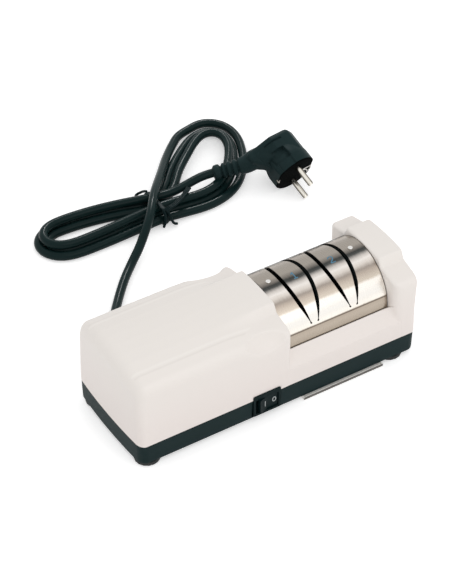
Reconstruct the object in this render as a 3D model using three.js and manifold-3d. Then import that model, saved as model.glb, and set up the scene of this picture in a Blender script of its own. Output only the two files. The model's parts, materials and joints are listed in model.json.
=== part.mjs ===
// Electric knife sharpener for a table top. X runs along the body towards the sharpening
// end, Y runs to the back and Z up. The origin is the middle of the body's plan, on the
// surface that the feet stand on. All sizes are in millimetres.

import * as THREE from "three";
import { mergeVertices } from "three/addons/utils/BufferGeometryUtils.js";
import Module from "manifold-3d";

const wasm = await Module();
wasm.setup();

// Clearances shared by all pieces
const gap = 0.35;
const overrun = 6;
const skin = 0.02;
const softRadius = 6;
const broadRadius = 45;
const mergeDistance = 1e-4;

// Body as a whole
const bodyLength = 248;
const bodyWidth = 93;
const endBow = 2;
const cornerRadius = 7;
const wallThickness = 2.6;
const standHeight = 4;
const partingHeight = 22;
const baseTaper = 1.6;
const baseEdgeRadius = 2.6;
const wallDraft = 0.022;
const tongueHeight = 2.4;
const tongueThickness = 1.3;
const rebateDepth = 0.4;

// Motor housing, the tall half of the white moulding
const housingEndShare = 0.03226;
const domeHeight = 85.2;
const domeEdgeHeight = 83.7;
const domeEdgeHalf = 21;
const creaseHeight = 80.6;
const creaseInset = 13;
const shoulderHeight = 76;
const shoulderRadius = 9;
const motorEndRadius = 10;
const blendLength = 60;
const blendSteps = 6;
const flowShares = [0.1, 0.95];
const bowShares = [0.62, 0.3, 0, -0.3, -0.62];
const roundShares = [0.45, 0.78, 0.95, 1];

// Raised outline that both ends of the sharpening bay share
const crestHeight = 86.3;
const crestEdgeHeight = 85.2;
const crestHalf = 21.5;
const crestFootHeight = 78.3;
const crestFootHalf = 25.5;
const crestEdgeRadius = 1.8;
const earHeight = 75.4;
const earInset = 8.5;
const earOuterHeight = 72.5;
const earRadius = 11;

// Thumb scoops in the shoulders beside the sharpening bay
const scoopFromEnd = 21;
const scoopLength = 46;
const scoopHeight = 78;
const scoopOut = 7.5;
const scoopRadius = 17;

// Sharpening bay: ledges on both sides of the cover
const bracketLength = 23;
const ledgeHeight = 37.6;
const ledgeRadius = 1.6;
const bayInset = 0.12;
const lipDepth = 2.6;
const lipWidth = 2.2;
const lipRim = 0.5;

// End bracket beyond the bay
const bracketEdgeRadius = 3.4;
const bracketInnerRadius = 9;
const bracketWallHeight = 74;

// Steel cover over the abrasive discs
const coverThickness = 0.8;
const coverRadius = 36.7;
const coverAxisHeight = 48.6;
const coverFoldRise = 10.9;
const coverFootHalf = 36.5;
const coverArcSteps = 18;

// Knife slots: two stages, each with a left and a right slot
const stageShares = [0.30107, 0.67742];
const slotLean = THREE.MathUtils.degToRad(18);
const slotWidth = 3.4;
const slotTipWidth = 0.9;
const slotTipRise = 14;
const slotFullRise = 26.4;
const slotTipHalfGap = 3.2;
const slotTipHoleRadius = 0.75;

// Screws through the top of the cover
const coverScrewInsets = [8.3, 11];
const coverScrewHeadRadius = 2.2;
const coverScrewHeadHeight = 1;
const coverScrewRadius = 1.3;
const coverScrewLength = 5;
const coverScrewRimShare = 0.7;
const coverScrewCrownShare = 0.8;

// Plastic blade guide under the cover
const guideThickness = 3.2;
const guideHalfAngle = THREE.MathUtils.degToRad(71);
const guideSlotWidth = 2.6;
const guideCheek = 1.7;
const guideCheekHalf = 24;
const guideArcSteps = 14;
const guideEndMargin = 1.4;
const guideBossRadius = 3.5;
const discClearance = 0.8;
const magnetLength = 30;
const magnetHeight = 8;
const magnetThickness = 1.6;
const magnetDrop = 1.65;

// Spindle line
const shaftHeight = 41;
const spindleRadius = 4;
const spindleTail = 2;
const discRadius = 21.5;
const discRim = 1.9;
const discHub = 3.4;
const discHubRadius = 9;
const discPairGap = 1.2;
const discSides = 22;
const roundSides = 16;
const screwSides = 10;
const neckSides = 12;
const outlineSteps = 3;
const spacerRadius = 6.5;
const bearingRadius = 8;
const bearingLength = 7;
const bearingInsets = [7.5, 8];
const pedestalHalf = 15;
const pedestalThickness = 5;
const pedestalFlare = 17;
const capHeight = 12.5;
const capShoulder = 6;
const capCrown = 9;
const pegRadius = 1.6;
const pegLength = 8;
const pegOffset = 11.8;

// Motor
const motorCentreShare = -0.26613;
const statorLength = 32;
const statorHalf = 29;
const statorCorner = 8;
const statorBore = 17.6;
const statorSlots = 8;
const statorSlotRadius = 2.6;
const rotorGap = 0.6;
const rotorLength = 34;
const windingInner = 18.6;
const windingOuter = 25;
const windingLength = 8.5;
const windingRound = 3;
const windingStraightShare = 0.6;
const bellWall = 3;
const bellDepth = 15;
const bellVents = 6;
const bellVentInner = 12.6;
const bellVentOuter = 22;
const bellVentWidth = 6;
const bossRadius = 11.5;
const bossDepth = 8;
const motorShaftRadius = 3.5;
const motorBearingRadius = 8;
const motorBearingLength = 6;
const padWidth = 40;
const padLength = 8;
const fanSideRoom = 6.4;
const fanEndRoom = 1.15;
const fanHubRadius = 7;
const fanLength = 9;
const fanBackThickness = 1.6;
const fanBlades = 9;
const fanBladeThickness = 1.4;
const fanShaftRadius = 2.8;
const shaftTail = 1.5;
const couplingRoom = 8.65;
const couplingRadius = 9;
const couplingLength = 22;
const couplingWeb = 3;
const couplingGrooves = 4;
const couplingGrooveRadius = 1;

// Rocker switch in the front of the base
const switchRoom = 20.85;
const bezelWidth = 24;
const bezelBottom = 6;
const bezelTop = 25.6;
const bezelStand = 0.8;
const bezelDepth = 4.1;
const bezelCorner = 1.2;
const rockerWidth = 17;
const rockerBottom = 8.3;
const rockerTop = 21;
const rockerTilt = THREE.MathUtils.degToRad(10);
const rockerFaceBend = THREE.MathUtils.degToRad(10);
const rockerFaceDepth = 0.95;
const rockerPivotDepth = 5.6;
const rockerBack = 3.4;
const rockerSwing = 1.5;
const rockerPinRadius = 1.2;
const rockerPinLength = 1;
const switchBodyWidth = 22;
const switchWall = 1.3;
const switchBodyDepth = 17;
const terminalWidth = 4.8;
const terminalHeight = 0.8;
const terminalLength = 7;
const terminalPitch = 7;

// Filings tray that slides out of the front, under the base
const trayLength = 72;
const trayFootRoom = 3.3;
const trayStand = 1.3;
const trayBackInset = 7;
const trayBottom = 1.5;
const trayTop = 3.6;
const traySheet = 0.8;
const railFrontInset = 4.5;
const railThickness = 1.8;
const railLedge = 2.6;
const railLedgeThickness = 0.8;
const chuteHalf = 27;
const chuteMargin = 6;
const ventCount = 7;
const ventPitch = 6.5;
const ventWidth = 2.5;
const ventHalf = 15;

// Feet and the screws that close the body
const footLeftInset = 12.6;
const footRightInset = 19.7;
const footSideInset = 10.5;
const rubberFootRadius = 10;
const footEdge = 0.8;
const footRecessRadius = 5.4;
const footRecessDepth = 2.4;
const bodyScrewRadius = 1.9;
const bodyScrewHeadRadius = 3.8;
const bodyScrewHeadHeight = 1.6;
const postRadius = 4.6;
const postTop = 34;
const postRib = 1.6;

// Terminal block and inner leads
const blockRoom = 16.6;
const blockWallRoom = 1.3;
const blockLength = 30;
const blockWidth = 10.8;
const blockHeight = 12;
const blockPoles = 3;
const blockScrewRadius = 2;
const leadRadius = 1.3;
const leadPitch = 4;
const leadBend = 2.6;
const leadSides = 6;
const leadSteps = 9;

// Mains cord
const cordRadius = 3.2;
const cordSides = 8;
const cordSteps = 30;
const tailSteps = 10;
const cordExit = -64;
const cordHeight = 13;
const glandFlangeRadius = 6;
const glandFlangeThickness = 1.8;
const glandNeckRadius = 4.6;
const glandLength = 26;
const glandTipRadius = 4.3;
const glandRibs = 4;
const glandRibDepth = 0.9;
const glandGrooveShare = 0.35;
const hankLayerStep = 6.95;
const hankSides = 6;
const floorClearance = 0.1;

// Tie round the waist of the hank
const tieCentre = [37.5, 201];
const tieWidth = 4;
const tieThickness = 1.3;
const tieHalfSpan = 17.2;
const tieHeight = 16.7;
const tieCorner = 6;
const tieFloor = 0.15;
const tieLift = 1.9;
const tieLiftReach = 26;

// Right-angled plug
const plugPlace = [152.1, 168.4, 18.6];
const plugPinAxis = [0.1, -0.93, -0.37];
const plugFaceRadius = 18.6;
const plugFaceDepth = 17;
const plugFlat = 16.8;
const plugBackDepth = 17;
const plugBackRound = 4;
const plugEndShares = [
  [0, 0.82],
  [1 / 3, 0.95],
  [1, 1],
];
const plugBackShares = [
  [0.9, 0.48],
  [0.54, 0.91],
  [-0.43, 0.91],
  [-1.29, 0.4],
  [-1.55, 0.34],
];
const reliefTipRadius = 5.6;
const reliefRibDepth = 0.9;
const reliefRibs = 4;
const reliefRibShares = [
  [0.15, 1],
  [0.45, 1],
  [0.5, 0],
  [0.95, 0],
];
const pinRadius = 2.4;
const pinLength = 19;
const pinPitch = 19;
const pinSeat = 2.6;
const pinRoundShares = [0.5, 0.16];
const pinTipShare = 0.7;
const earthWidth = 4.4;
const earthDepth = 13;
const earthThickness = 1;

// Places along and across the body that follow from the sizes above
const halfLength = bodyLength / 2;
const halfWidth = bodyWidth / 2;
const housingEnd = bodyLength * housingEndShare;
const bayEnd = halfLength - bracketLength;
const bayLength = bayEnd - housingEnd;
const stageCentres = stageShares.map((share) => housingEnd + bayLength * share);
const coverScrewPlaces = [housingEnd + coverScrewInsets[0], bayEnd - coverScrewInsets[1]];
const bearingPlaces = [housingEnd + bearingInsets[0], bayEnd - bearingInsets[1]];
const coverTop = coverAxisHeight + coverRadius;
const coverFoldHeight = coverAxisHeight + coverFoldRise;
const slotTipHeight = coverAxisHeight + slotTipRise;
const slotFullHeight = coverAxisHeight + slotFullRise;
const motorCentre = bodyLength * motorCentreShare;
const bellEnd = statorLength / 2 + gap + bellDepth;
const motorEnd = motorCentre + bellEnd;
const fanPlace = motorCentre - bellEnd - fanEndRoom - fanLength;
const couplingPlace = motorEnd + couplingRoom;
const switchCentre = motorEnd + switchRoom;
const fanRadius = halfWidth - footSideInset - postRadius - fanSideRoom;
const trayEnd = halfLength - footRightInset - rubberFootRadius - trayFootRoom;
const trayStart = trayEnd - trayLength;
const trayFront = halfWidth + trayStand;
const trayBack = halfWidth - trayBackInset;
const railReach = halfWidth - railFrontInset;
const creaseHalf = halfWidth - creaseInset;
const earHalf = halfWidth - earInset;

// Shape helpers

function turnedOut(positions, triangles) {
  let volume = 0;
  const at = (i) => new THREE.Vector3().fromArray(positions, 3 * i);
  for (let i = 0; i < triangles.length; i += 3)
    volume += at(triangles[i]).dot(at(triangles[i + 1]).cross(at(triangles[i + 2])));
  if (volume > 0) return triangles;
  const flipped = [];
  for (let i = 0; i < triangles.length; i += 3)
    flipped.push(triangles[i], triangles[i + 2], triangles[i + 1]);
  return flipped;
}

// A closed geometry as a solid, its shared vertices merged and its faces turned outwards.
function solid(geometry) {
  const bare = geometry.clone();
  for (const name of Object.keys(bare.attributes))
    if (name !== "position") bare.deleteAttribute(name);
  const merged = mergeVertices(bare, mergeDistance);
  const index = merged.index.array;
  const triangles = [];
  for (let i = 0; i < index.length; i += 3) {
    const [a, b, c] = [index[i], index[i + 1], index[i + 2]];
    if (a !== b && b !== c && c !== a) triangles.push(a, b, c);
  }
  const positions = new Float32Array(merged.attributes.position.array);
  return new wasm.Manifold(
    new wasm.Mesh({
      numProp: 3,
      vertProperties: positions,
      triVerts: new Uint32Array(turnedOut(positions, triangles)),
    }),
  );
}

const join = (...solids) => solids.flat().reduce((whole, next) => whole.add(next));
const cut = (from, ...cutters) => cutters.flat().reduce((left, next) => left.subtract(next), from);

// A closed outline through corners [u, v, radius], each rounded corner an arc.
function outline(corners, steps = 4) {
  const points = [];
  const at = (i) => {
    const corner = corners[(i + corners.length) % corners.length];
    return new THREE.Vector2(corner[0], corner[1]);
  };
  corners.forEach(([, , radius = 0], i) => {
    const here = at(i);
    const back = at(i - 1).sub(here);
    const ahead = at(i + 1).sub(here);
    const limit = 0.48 * Math.min(back.length(), ahead.length());
    back.normalize();
    ahead.normalize();
    const half = Math.acos(THREE.MathUtils.clamp(back.dot(ahead), -1, 1)) / 2;
    const reach = Math.min(radius / Math.tan(half), limit);
    if (radius === 0 || Math.cos(half) < 1e-3) {
      points.push(...Array(radius === 0 ? 1 : steps + 1).fill(here));
      return;
    }
    const round = reach * Math.tan(half);
    const inward = back.clone().add(ahead).normalize();
    const centre = here.clone().addScaledVector(inward, round / Math.sin(half));
    const from = here.clone().addScaledVector(back, reach).sub(centre);
    const to = here.clone().addScaledVector(ahead, reach).sub(centre);
    const sweep = Math.atan2(from.cross(to), from.dot(to));
    for (let k = 0; k <= steps; k++)
      points.push(from.clone().rotateAround(new THREE.Vector2(), (sweep * k) / steps).add(centre));
  });
  return points;
}

const rectangle = (u0, u1, v0, v1, radius = 0) => [
  [u0, v0, radius],
  [u1, v0, radius],
  [u1, v1, radius],
  [u0, v1, radius],
];

const mirrored = (half) => [...half, ...[...half].reverse().map(([u, v, r]) => [-u, v, r])];

// Outline points turned about the origin, then moved.
const spun = (points, angle, u, v) =>
  points.map((p) => p.clone().rotateAround(new THREE.Vector2(), angle).add(new THREE.Vector2(u, v)));

// A regular polygon standing in for a circle.
function circle(radius, sides = roundSides, u = 0, v = 0) {
  const turn = (2 * Math.PI) / sides;
  return Array.from({ length: sides }, (_, i) => {
    const angle = turn * (i + 0.5);
    return new THREE.Vector2(u + radius * Math.cos(angle), v + radius * Math.sin(angle));
  });
}

const axes = {
  x: [new THREE.Vector3(0, 1, 0), new THREE.Vector3(0, 0, 1), new THREE.Vector3(1, 0, 0)],
  y: [new THREE.Vector3(1, 0, 0), new THREE.Vector3(0, 0, 1), new THREE.Vector3(0, 1, 0)],
  z: [new THREE.Vector3(1, 0, 0), new THREE.Vector3(0, 1, 0), new THREE.Vector3(0, 0, 1)],
};

// An outline carried straight along an axis, from one place on it to another.
function extruded(points, axis, from, to) {
  const shape = new THREE.Shape(points);
  const geometry = new THREE.ExtrudeGeometry(shape, { depth: to - from, bevelEnabled: false });
  geometry.applyMatrix4(new THREE.Matrix4().makeBasis(...axes[axis]));
  geometry.translate(...axes[axis][2].clone().multiplyScalar(from));
  return geometry;
}

const prism = (points, axis, from, to) => solid(extruded(points, axis, from, to));

const block = (x, y, z) => prism(outline(rectangle(x[0], x[1], y[0], y[1])), "z", z[0], z[1]);
const rod = (radius, axis, from, to, u = 0, v = 0, sides = roundSides) =>
  prism(circle(radius, sides, u, v), axis, from, to);

// A profile [radius, place] turned round the shaft line or any line along the axis.
function turned(profile, axis, u = 0, v = 0, sides = roundSides) {
  const points = profile.map(([radius, place]) => new THREE.Vector2(radius, place));
  const geometry = new THREE.LatheGeometry(points, sides);
  const [first, second, along] = axes[axis];
  geometry.applyMatrix4(new THREE.Matrix4().makeBasis(first, along, second));
  geometry.translate(...first.clone().multiplyScalar(u).addScaledVector(second, v));
  return solid(geometry);
}

// A skin over rings of equal count, closed by a fan at each end.
function loft(rings) {
  const count = rings[0].length;
  const positions = rings.flat();
  const triangles = [];
  for (let r = 0; r + 1 < rings.length; r++)
    for (let i = 0; i < count; i++) {
      const [a, b] = [r * count + i, r * count + ((i + 1) % count)];
      triangles.push(a, b, b + count, a, b + count, a + count);
    }
  for (const [ring, flip] of [[0, true], [rings.length - 1, false]]) {
    const middle = new THREE.Vector3();
    rings[ring].forEach((point) => middle.addScaledVector(new THREE.Vector3(...point), 1 / count));
    const centre = positions.push(middle.toArray()) - 1;
    for (let i = 0; i < count; i++) {
      const [a, b] = [ring * count + i, ring * count + ((i + 1) % count)];
      triangles.push(...(flip ? [centre, b, a] : [centre, a, b]));
    }
  }
  const geometry = new THREE.BufferGeometry();
  geometry.setAttribute("position", new THREE.Float32BufferAttribute(positions.flat(), 3));
  geometry.setIndex(triangles);
  return solid(geometry);
}

// A round tube along a curve, ending square to it.
function tube(curve, radius, sides, steps) {
  const geometry = new THREE.ExtrudeGeometry(new THREE.Shape(circle(radius, sides)), {
    steps,
    extrudePath: curve,
    bevelEnabled: false,
  });
  return solid(geometry);
}

const smooth = (points) =>
  new THREE.CatmullRomCurve3(points.map((p) => new THREE.Vector3(...p)), false, "centripetal");

// The finished object and its pieces

const group = new THREE.Group();
group.name = "electric_knife_sharpener";

const finish = (color, roughness, metalness = 0) =>
  new THREE.MeshStandardMaterial({ color, roughness, metalness });
const whitePlastic = finish(0xebe7e1, 0.45);
const blackPlastic = finish(0x243032, 0.5);
const darkPlastic = finish(0x15191a, 0.4);
const rubber = finish(0x1a1d1e, 0.8);
const stainless = finish(0xb9b5ae, 0.28, 1);
const brightSteel = finish(0xd6d4d0, 0.22, 1);
const castAlloy = finish(0xa9abad, 0.5, 1);
const lamination = finish(0x6d6f73, 0.45, 1);
const copper = finish(0xb8652f, 0.4, 1);
const abrasive = finish(0x8f9296, 0.7, 0.6);
const magnetFinish = finish(0x8c8f94, 0.3, 1);
const cordPlastic = finish(0x142022, 0.42);
const brownLead = finish(0x5b3a25, 0.5);
const blueLead = finish(0x2b5f9e, 0.5);
const guidePlastic = finish(0x101314, 0.45);

function piece(name, shape, material) {
  const mesh = shape.getMesh();
  const geometry = new THREE.BufferGeometry();
  geometry.setAttribute("position", new THREE.Float32BufferAttribute(mesh.vertProperties, 3));
  geometry.setIndex(new THREE.BufferAttribute(new Uint32Array(mesh.triVerts), 1));
  geometry.computeVertexNormals();
  const item = new THREE.Mesh(geometry, material);
  item.name = name;
  group.add(item);
}

// Outlines of the moulded body

const wallAt = (z, inset = 0) => halfWidth - wallDraft * (z - partingHeight) - inset;
const under = partingHeight - overrun;

// Plan of the body drawn in by given amounts at its left end, right end and sides. Both
// ends bow outwards a little between their rounded corners.
function planRing(left, right, side, z) {
  const half = halfWidth - side;
  const end = (sign, inset) =>
    bowShares.map((share) => {
      const reach = halfLength - inset - endBow * share * share;
      return [sign * reach, -sign * share * half];
    });
  const corner = (sx, sy, inset) => [sx * (halfLength - inset - endBow), sy * half, cornerRadius];
  const corners = [
    corner(1, -1, right),
    ...end(1, right),
    corner(1, 1, right),
    corner(-1, 1, left),
    ...end(-1, left),
    corner(-1, -1, left),
  ];
  return outline(corners, outlineSteps).map((point) => [point.x, point.y, z]);
}

const roundedBy = (radius, depth) => radius - Math.sqrt(Math.max(radius * radius - depth * depth, 0));

// The white body's plan at each height: a slight draft, and the top edges of both ends
// rounded, the motor end more than the bracket end.
function bodyPlan(inset, bottom = under) {
  const ceiling = crestHeight - inset;
  const heights = [bottom, ceiling - motorEndRadius];
  for (const share of roundShares) heights.push(ceiling - motorEndRadius * (1 - share));
  heights.push(ceiling + overrun);
  const rings = heights.map((z) => {
    const draft = wallDraft * Math.max(z - partingHeight, 0) + inset;
    const above = (radius) => THREE.MathUtils.clamp(z - (ceiling - radius), 0, radius);
    const left = roundedBy(motorEndRadius, above(motorEndRadius));
    const right = roundedBy(bracketEdgeRadius, above(bracketEdgeRadius));
    return planRing(draft + left, draft + right, draft - skin, z);
  });
  return loft(rings);
}

// Half outlines of the section across the body, drawn in by a wall where hollow. The
// first two have the same corners, so that one flows into the other.
const domeShoulder = (domeEdgeHalf + creaseHalf) / 2;
const motorSection = (inset) => [
  [wallAt(under, inset), under],
  [wallAt(shoulderHeight, inset), shoulderHeight - inset, shoulderRadius],
  [creaseHalf, creaseHeight - inset, softRadius],
  [domeShoulder, (creaseHeight + domeEdgeHeight) / 2 - inset, broadRadius],
  [domeEdgeHalf, domeEdgeHeight - inset, softRadius],
  [domeEdgeHalf / 2, domeHeight - (domeHeight - domeEdgeHeight) / 4 - inset, broadRadius],
];
const crestSection = (inset) => [
  [wallAt(under, inset), under],
  [wallAt(earOuterHeight, inset), earOuterHeight - inset, earRadius],
  [earHalf, earHeight - inset, softRadius],
  [crestFootHalf, crestFootHeight - inset, crestEdgeRadius],
  [crestHalf, crestEdgeHeight - inset, crestEdgeRadius],
  [crestHalf / 2, crestHeight - (crestHeight - crestEdgeHeight) / 4 - inset, broadRadius],
];
const bracketSection = (inset) => [
  [wallAt(under, inset), under],
  [wallAt(bracketWallHeight, inset), bracketWallHeight - inset, softRadius],
  ...crestSection(inset).slice(3),
];
const lipHalf = coverFootHalf + gap;
const seatHeight = coverAxisHeight - gap;
const baySection = [
  [wallAt(under, bayInset), under],
  [wallAt(ledgeHeight, bayInset), ledgeHeight, ledgeRadius],
  [lipHalf + lipRim, coverAxisHeight + gap],
];
const bayHollow = [
  [wallAt(under, wallThickness), under],
  [wallAt(ledgeHeight, wallThickness), ledgeHeight - wallThickness / 2],
  [lipHalf - lipWidth, coverAxisHeight - lipDepth],
];

// Motor end of the body: the plain section as far as the blend, which then flows into
// the raised outline at the bay.
function motorBody(inset, to) {
  const plain = outline(mirrored(motorSection(inset)), outlineSteps);
  const crest = outline(mirrored(crestSection(inset)), outlineSteps);
  const rings = [plain.map((p) => [-halfLength - overrun, p.x, p.y])];
  for (let i = 0; i <= blendSteps; i++) {
    const share = i / blendSteps;
    const x = THREE.MathUtils.lerp(housingEnd - blendLength, to, share);
    const flow = THREE.MathUtils.smoothstep(share, ...flowShares);
    rings.push(plain.map((p, k) => [x, ...p.clone().lerp(crest[k], flow).toArray()]));
  }
  return loft(rings);
}

// The bracket stands up beyond the bay, its inner upright edges rounded in plan.
function bracketBody(inset) {
  const start = bayEnd + inset;
  const far = halfLength + overrun;
  const radius = Math.max(bracketInnerRadius - inset, wallThickness);
  const plan = outline([
    [start, inset - halfWidth, radius],
    [far, inset - halfWidth],
    [far, halfWidth - inset],
    [start, halfWidth - inset, radius],
  ]);
  const form = prism(outline(mirrored(bracketSection(inset)), outlineSteps), "x", start, far);
  return form.intersect(prism(plan, "z", under, crestHeight + overrun));
}

// Shallow scoops for the thumb in both shoulders, grown by the wall inside.
function scoops(grow) {
  return [-1, 1].map((side) => {
    const geometry = new THREE.SphereGeometry(1, 16, 8);
    geometry.scale(scoopLength / 2 + grow, scoopRadius + grow, scoopRadius + grow);
    geometry.translate(housingEnd - scoopFromEnd, side * (halfWidth + scoopOut), scoopHeight);
    return solid(geometry);
  });
}

const straightPlan = (inset, bottom, top) =>
  loft([bottom, top].map((z) => planRing(inset, inset, inset, z)));

const footPlaces = [
  ["front_left", footLeftInset - halfLength, footSideInset - halfWidth],
  ["front_right", halfLength - footRightInset, footSideInset - halfWidth],
  ["rear_left", footLeftInset - halfLength, halfWidth - footSideInset],
  ["rear_right", halfLength - footRightInset, halfWidth - footSideInset],
];
const screwBore = bodyScrewRadius + gap;
const bezelStart = switchCentre - bezelWidth / 2;
const bezelEnd = switchCentre + bezelWidth / 2;

function upperHousing() {
  const bayFar = bayEnd + bracketInnerRadius + wallThickness;
  const outer = join(
    cut(motorBody(0, housingEnd), scoops(0)),
    prism(outline(mirrored(baySection)), "x", housingEnd - skin, bayFar),
    bracketBody(0),
  ).intersect(bodyPlan(0, partingHeight));
  const plan = bodyPlan(wallThickness);
  const motorRoom = motorBody(wallThickness, housingEnd - wallThickness);
  const motorHollow = cut(motorRoom, scoops(wallThickness)).intersect(plan);
  const bracketHollow = bracketBody(wallThickness).intersect(plan);
  const seat = prism(
    outline(rectangle(-lipHalf, lipHalf, seatHeight, crestHeight + overrun)),
    "x",
    housingEnd,
    bayEnd,
  );
  const between = rectangle(lipWidth - lipHalf, lipHalf - lipWidth, under, crestHeight);
  const opening = join(
    prism(outline(between), "x", housingEnd, bayEnd),
    prism(outline(mirrored(bayHollow)), "x", housingEnd, bayEnd),
  );
  const tongueRoom = straightPlan(wallThickness - rebateDepth, under, partingHeight + tongueHeight + gap);
  const shaftHole = rod(
    couplingRadius + wallThickness,
    "x",
    housingEnd - overrun,
    housingEnd + overrun,
    0,
    shaftHeight,
  );
  const switchNotch = block(
    [bezelStart - gap, bezelEnd + gap],
    [-halfWidth - overrun, -halfWidth + wallThickness + overrun],
    [under, bezelTop + gap],
  );
  const posts = footPlaces.map(([, x, y]) => {
    const ribEnd = halfWidth - wallThickness;
    const ribSpan = y > 0 ? [y, ribEnd] : [-ribEnd, y];
    const column = join(
      rod(postRadius, "z", partingHeight, crestHeight, x, y),
      block([x - postRib / 2, x + postRib / 2], ribSpan, [partingHeight + tongueHeight + gap, crestHeight]),
    );
    return cut(column, seat).intersect(outer);
  });
  const bores = footPlaces.map(([, x, y]) => rod(screwBore, "z", under, postTop, x, y, screwSides));
  const shell = cut(outer, motorHollow, bracketHollow, seat, opening, tongueRoom, shaftHole);
  return cut(join(shell, posts), bores, switchNotch);
}

// Black base: a tray-shaped moulding whose sides draw in downwards, with a tongue that
// locates the white body, and the seats for everything inside.
const baseTop = partingHeight - gap;
const floorTop = standHeight + wallThickness;
const baseRoundShares = [0.25, 0.6, 1];

function basePlan(inset, bottom) {
  const rise = partingHeight - standHeight;
  const heights = [bottom];
  if (bottom === standHeight)
    for (const share of baseRoundShares) heights.push(standHeight + baseEdgeRadius * share);
  heights.push(baseTop);
  const rings = heights.map((z) => {
    const taper = (baseTaper * (partingHeight - z)) / rise;
    const below = THREE.MathUtils.clamp(standHeight + baseEdgeRadius - z, 0, baseEdgeRadius);
    const all = inset + taper + roundedBy(baseEdgeRadius, below);
    return planRing(all, all, all, z);
  });
  return loft(rings);
}

function bearingPedestal(x) {
  const points = outline([
    [-pedestalFlare, standHeight + skin],
    [pedestalFlare, standHeight + skin],
    [pedestalHalf, partingHeight],
    [pedestalHalf, shaftHeight],
    [-pedestalHalf, shaftHeight],
    [-pedestalHalf, partingHeight],
  ]);
  const plate = prism(points, "x", x - pedestalThickness / 2, x + pedestalThickness / 2);
  const seat = rod(bearingRadius + gap, "x", x - pedestalThickness, x + pedestalThickness, 0, shaftHeight);
  const bottom = shaftHeight - pegLength - gap;
  const holes = [-1, 1].map((side) =>
    rod(pegRadius + gap, "z", bottom, shaftHeight + overrun, x, side * pegOffset, screwSides),
  );
  return cut(plate, seat, holes);
}

const padTop = shaftHeight - statorHalf - gap;
const railBottom = trayBottom - gap - railLedgeThickness;

function lowerBase() {
  const tongueInset = wallThickness + gap;
  const outer = join(
    basePlan(0, standHeight),
    straightPlan(tongueInset, baseTop - tongueThickness, partingHeight + tongueHeight),
  );
  const shelf = baseTop - 2 * tongueThickness;
  const hollow = join(
    basePlan(wallThickness, floorTop).intersect(straightPlan(wallThickness, standHeight, shelf)),
    straightPlan(tongueInset + tongueThickness, shelf - skin, partingHeight + overrun),
  );
  const shell = cut(outer, hollow);
  const bosses = footPlaces.map(([, x, y]) =>
    rod(postRadius + wallThickness / 2, "z", standHeight + skin, baseTop, x, y),
  );
  const pads = [-1, 1].map((side) => {
    const x = motorCentre + side * (bellEnd - padLength / 2);
    return block(
      [x - padLength / 2, x + padLength / 2],
      [-padWidth / 2, padWidth / 2],
      [standHeight + skin, padTop],
    );
  });
  const railBack = trayBack + gap + railThickness;
  const rails = [
    [trayStart - gap, -1],
    [trayEnd + gap, 1],
  ].map(([x, side]) => {
    const outward = x + side * railThickness;
    const inward = x - side * railLedge;
    const span = (a, b) => [Math.min(a, b), Math.max(a, b)];
    return join(
      block(span(x, outward), [-railReach, railBack], [railBottom, floorTop - skin]),
      block(span(inward, outward), [-railReach, railBack], [railBottom, railBottom + railLedgeThickness]),
    );
  });
  const stop = block(
    [trayStart - gap - skin, trayEnd + gap + skin],
    [trayBack + gap, railBack],
    [railBottom, floorTop - skin],
  );
  const solidParts = join(shell, bosses, pads, rails, stop, bearingPlaces.map(bearingPedestal));
  const screwHoles = footPlaces.map(([, x, y]) =>
    rod(screwBore, "z", -overrun, partingHeight + overrun, x, y),
  );
  const chuteReach = pedestalThickness / 2 + chuteMargin;
  const chute = block(
    [bearingPlaces[0] + chuteReach, bearingPlaces[1] - chuteReach],
    [-chuteHalf, chuteHalf],
    [-overrun, floorTop + skin],
  );
  const switchHole = block(
    [bezelStart - gap, bezelEnd + gap],
    [-halfWidth - overrun, baseTaper + wallThickness + gap - halfWidth],
    [bezelBottom - gap, partingHeight + overrun],
  );
  const cordHole = rod(
    glandNeckRadius + gap,
    "y",
    halfWidth - 2 * overrun,
    halfWidth + overrun,
    cordExit,
    cordHeight,
  );
  const vents = Array.from({ length: ventCount }, (_, i) => {
    const x = motorCentre + (i - (ventCount - 1) / 2) * ventPitch;
    const slot = rectangle(x - ventWidth / 2, x + ventWidth / 2, -ventHalf, ventHalf, ventWidth / 2);
    return prism(outline(slot, 2), "z", -overrun, floorTop + skin);
  });
  return cut(solidParts, screwHoles, chute, switchHole, cordHole, vents);
}

// Steel cover: a sheet bent to an arch with a flat skirt on each side, cut by the slots.
const foldAngle = Math.acos((coverFoldHeight - coverAxisHeight) / coverRadius);
const coverStart = housingEnd + gap;
const coverEnd = bayEnd - gap;

const archPoints = (radius, halfAngle, steps) =>
  Array.from({ length: steps + 1 }, (_, i) => {
    const angle = halfAngle * (1 - (2 * i) / steps);
    return new THREE.Vector2(radius * Math.sin(angle), coverAxisHeight + radius * Math.cos(angle));
  });

// Middle of a leaning slot at a height.
const slotMiddle = (centre, side, z) =>
  centre + side * (slotTipHalfGap + (z - slotTipHeight) * Math.tan(slotLean));

function slotCutter(centre, side, width, tipWidth, tipHeight) {
  const middle = (z) => slotMiddle(centre, side, z);
  const top = coverTop + overrun;
  const points = [
    [middle(tipHeight) - tipWidth / 2, tipHeight],
    [middle(tipHeight) + tipWidth / 2, tipHeight],
    [middle(slotFullHeight) + width / 2, slotFullHeight],
    [middle(top) + width / 2, top],
    [middle(top) - width / 2, top],
    [middle(slotFullHeight) - width / 2, slotFullHeight],
  ];
  return prism(outline(points), "y", -halfWidth, halfWidth);
}

const eachSlot = (make) =>
  stageCentres.flatMap((centre, stage) => [-1, 1].map((side) => make(centre, side, stage + 1)));

const coverScrewBores = () =>
  coverScrewPlaces.map((x) =>
    rod(coverScrewRadius + gap, "z", shaftHeight, coverTop + overrun, x, 0, screwSides),
  );

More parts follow.
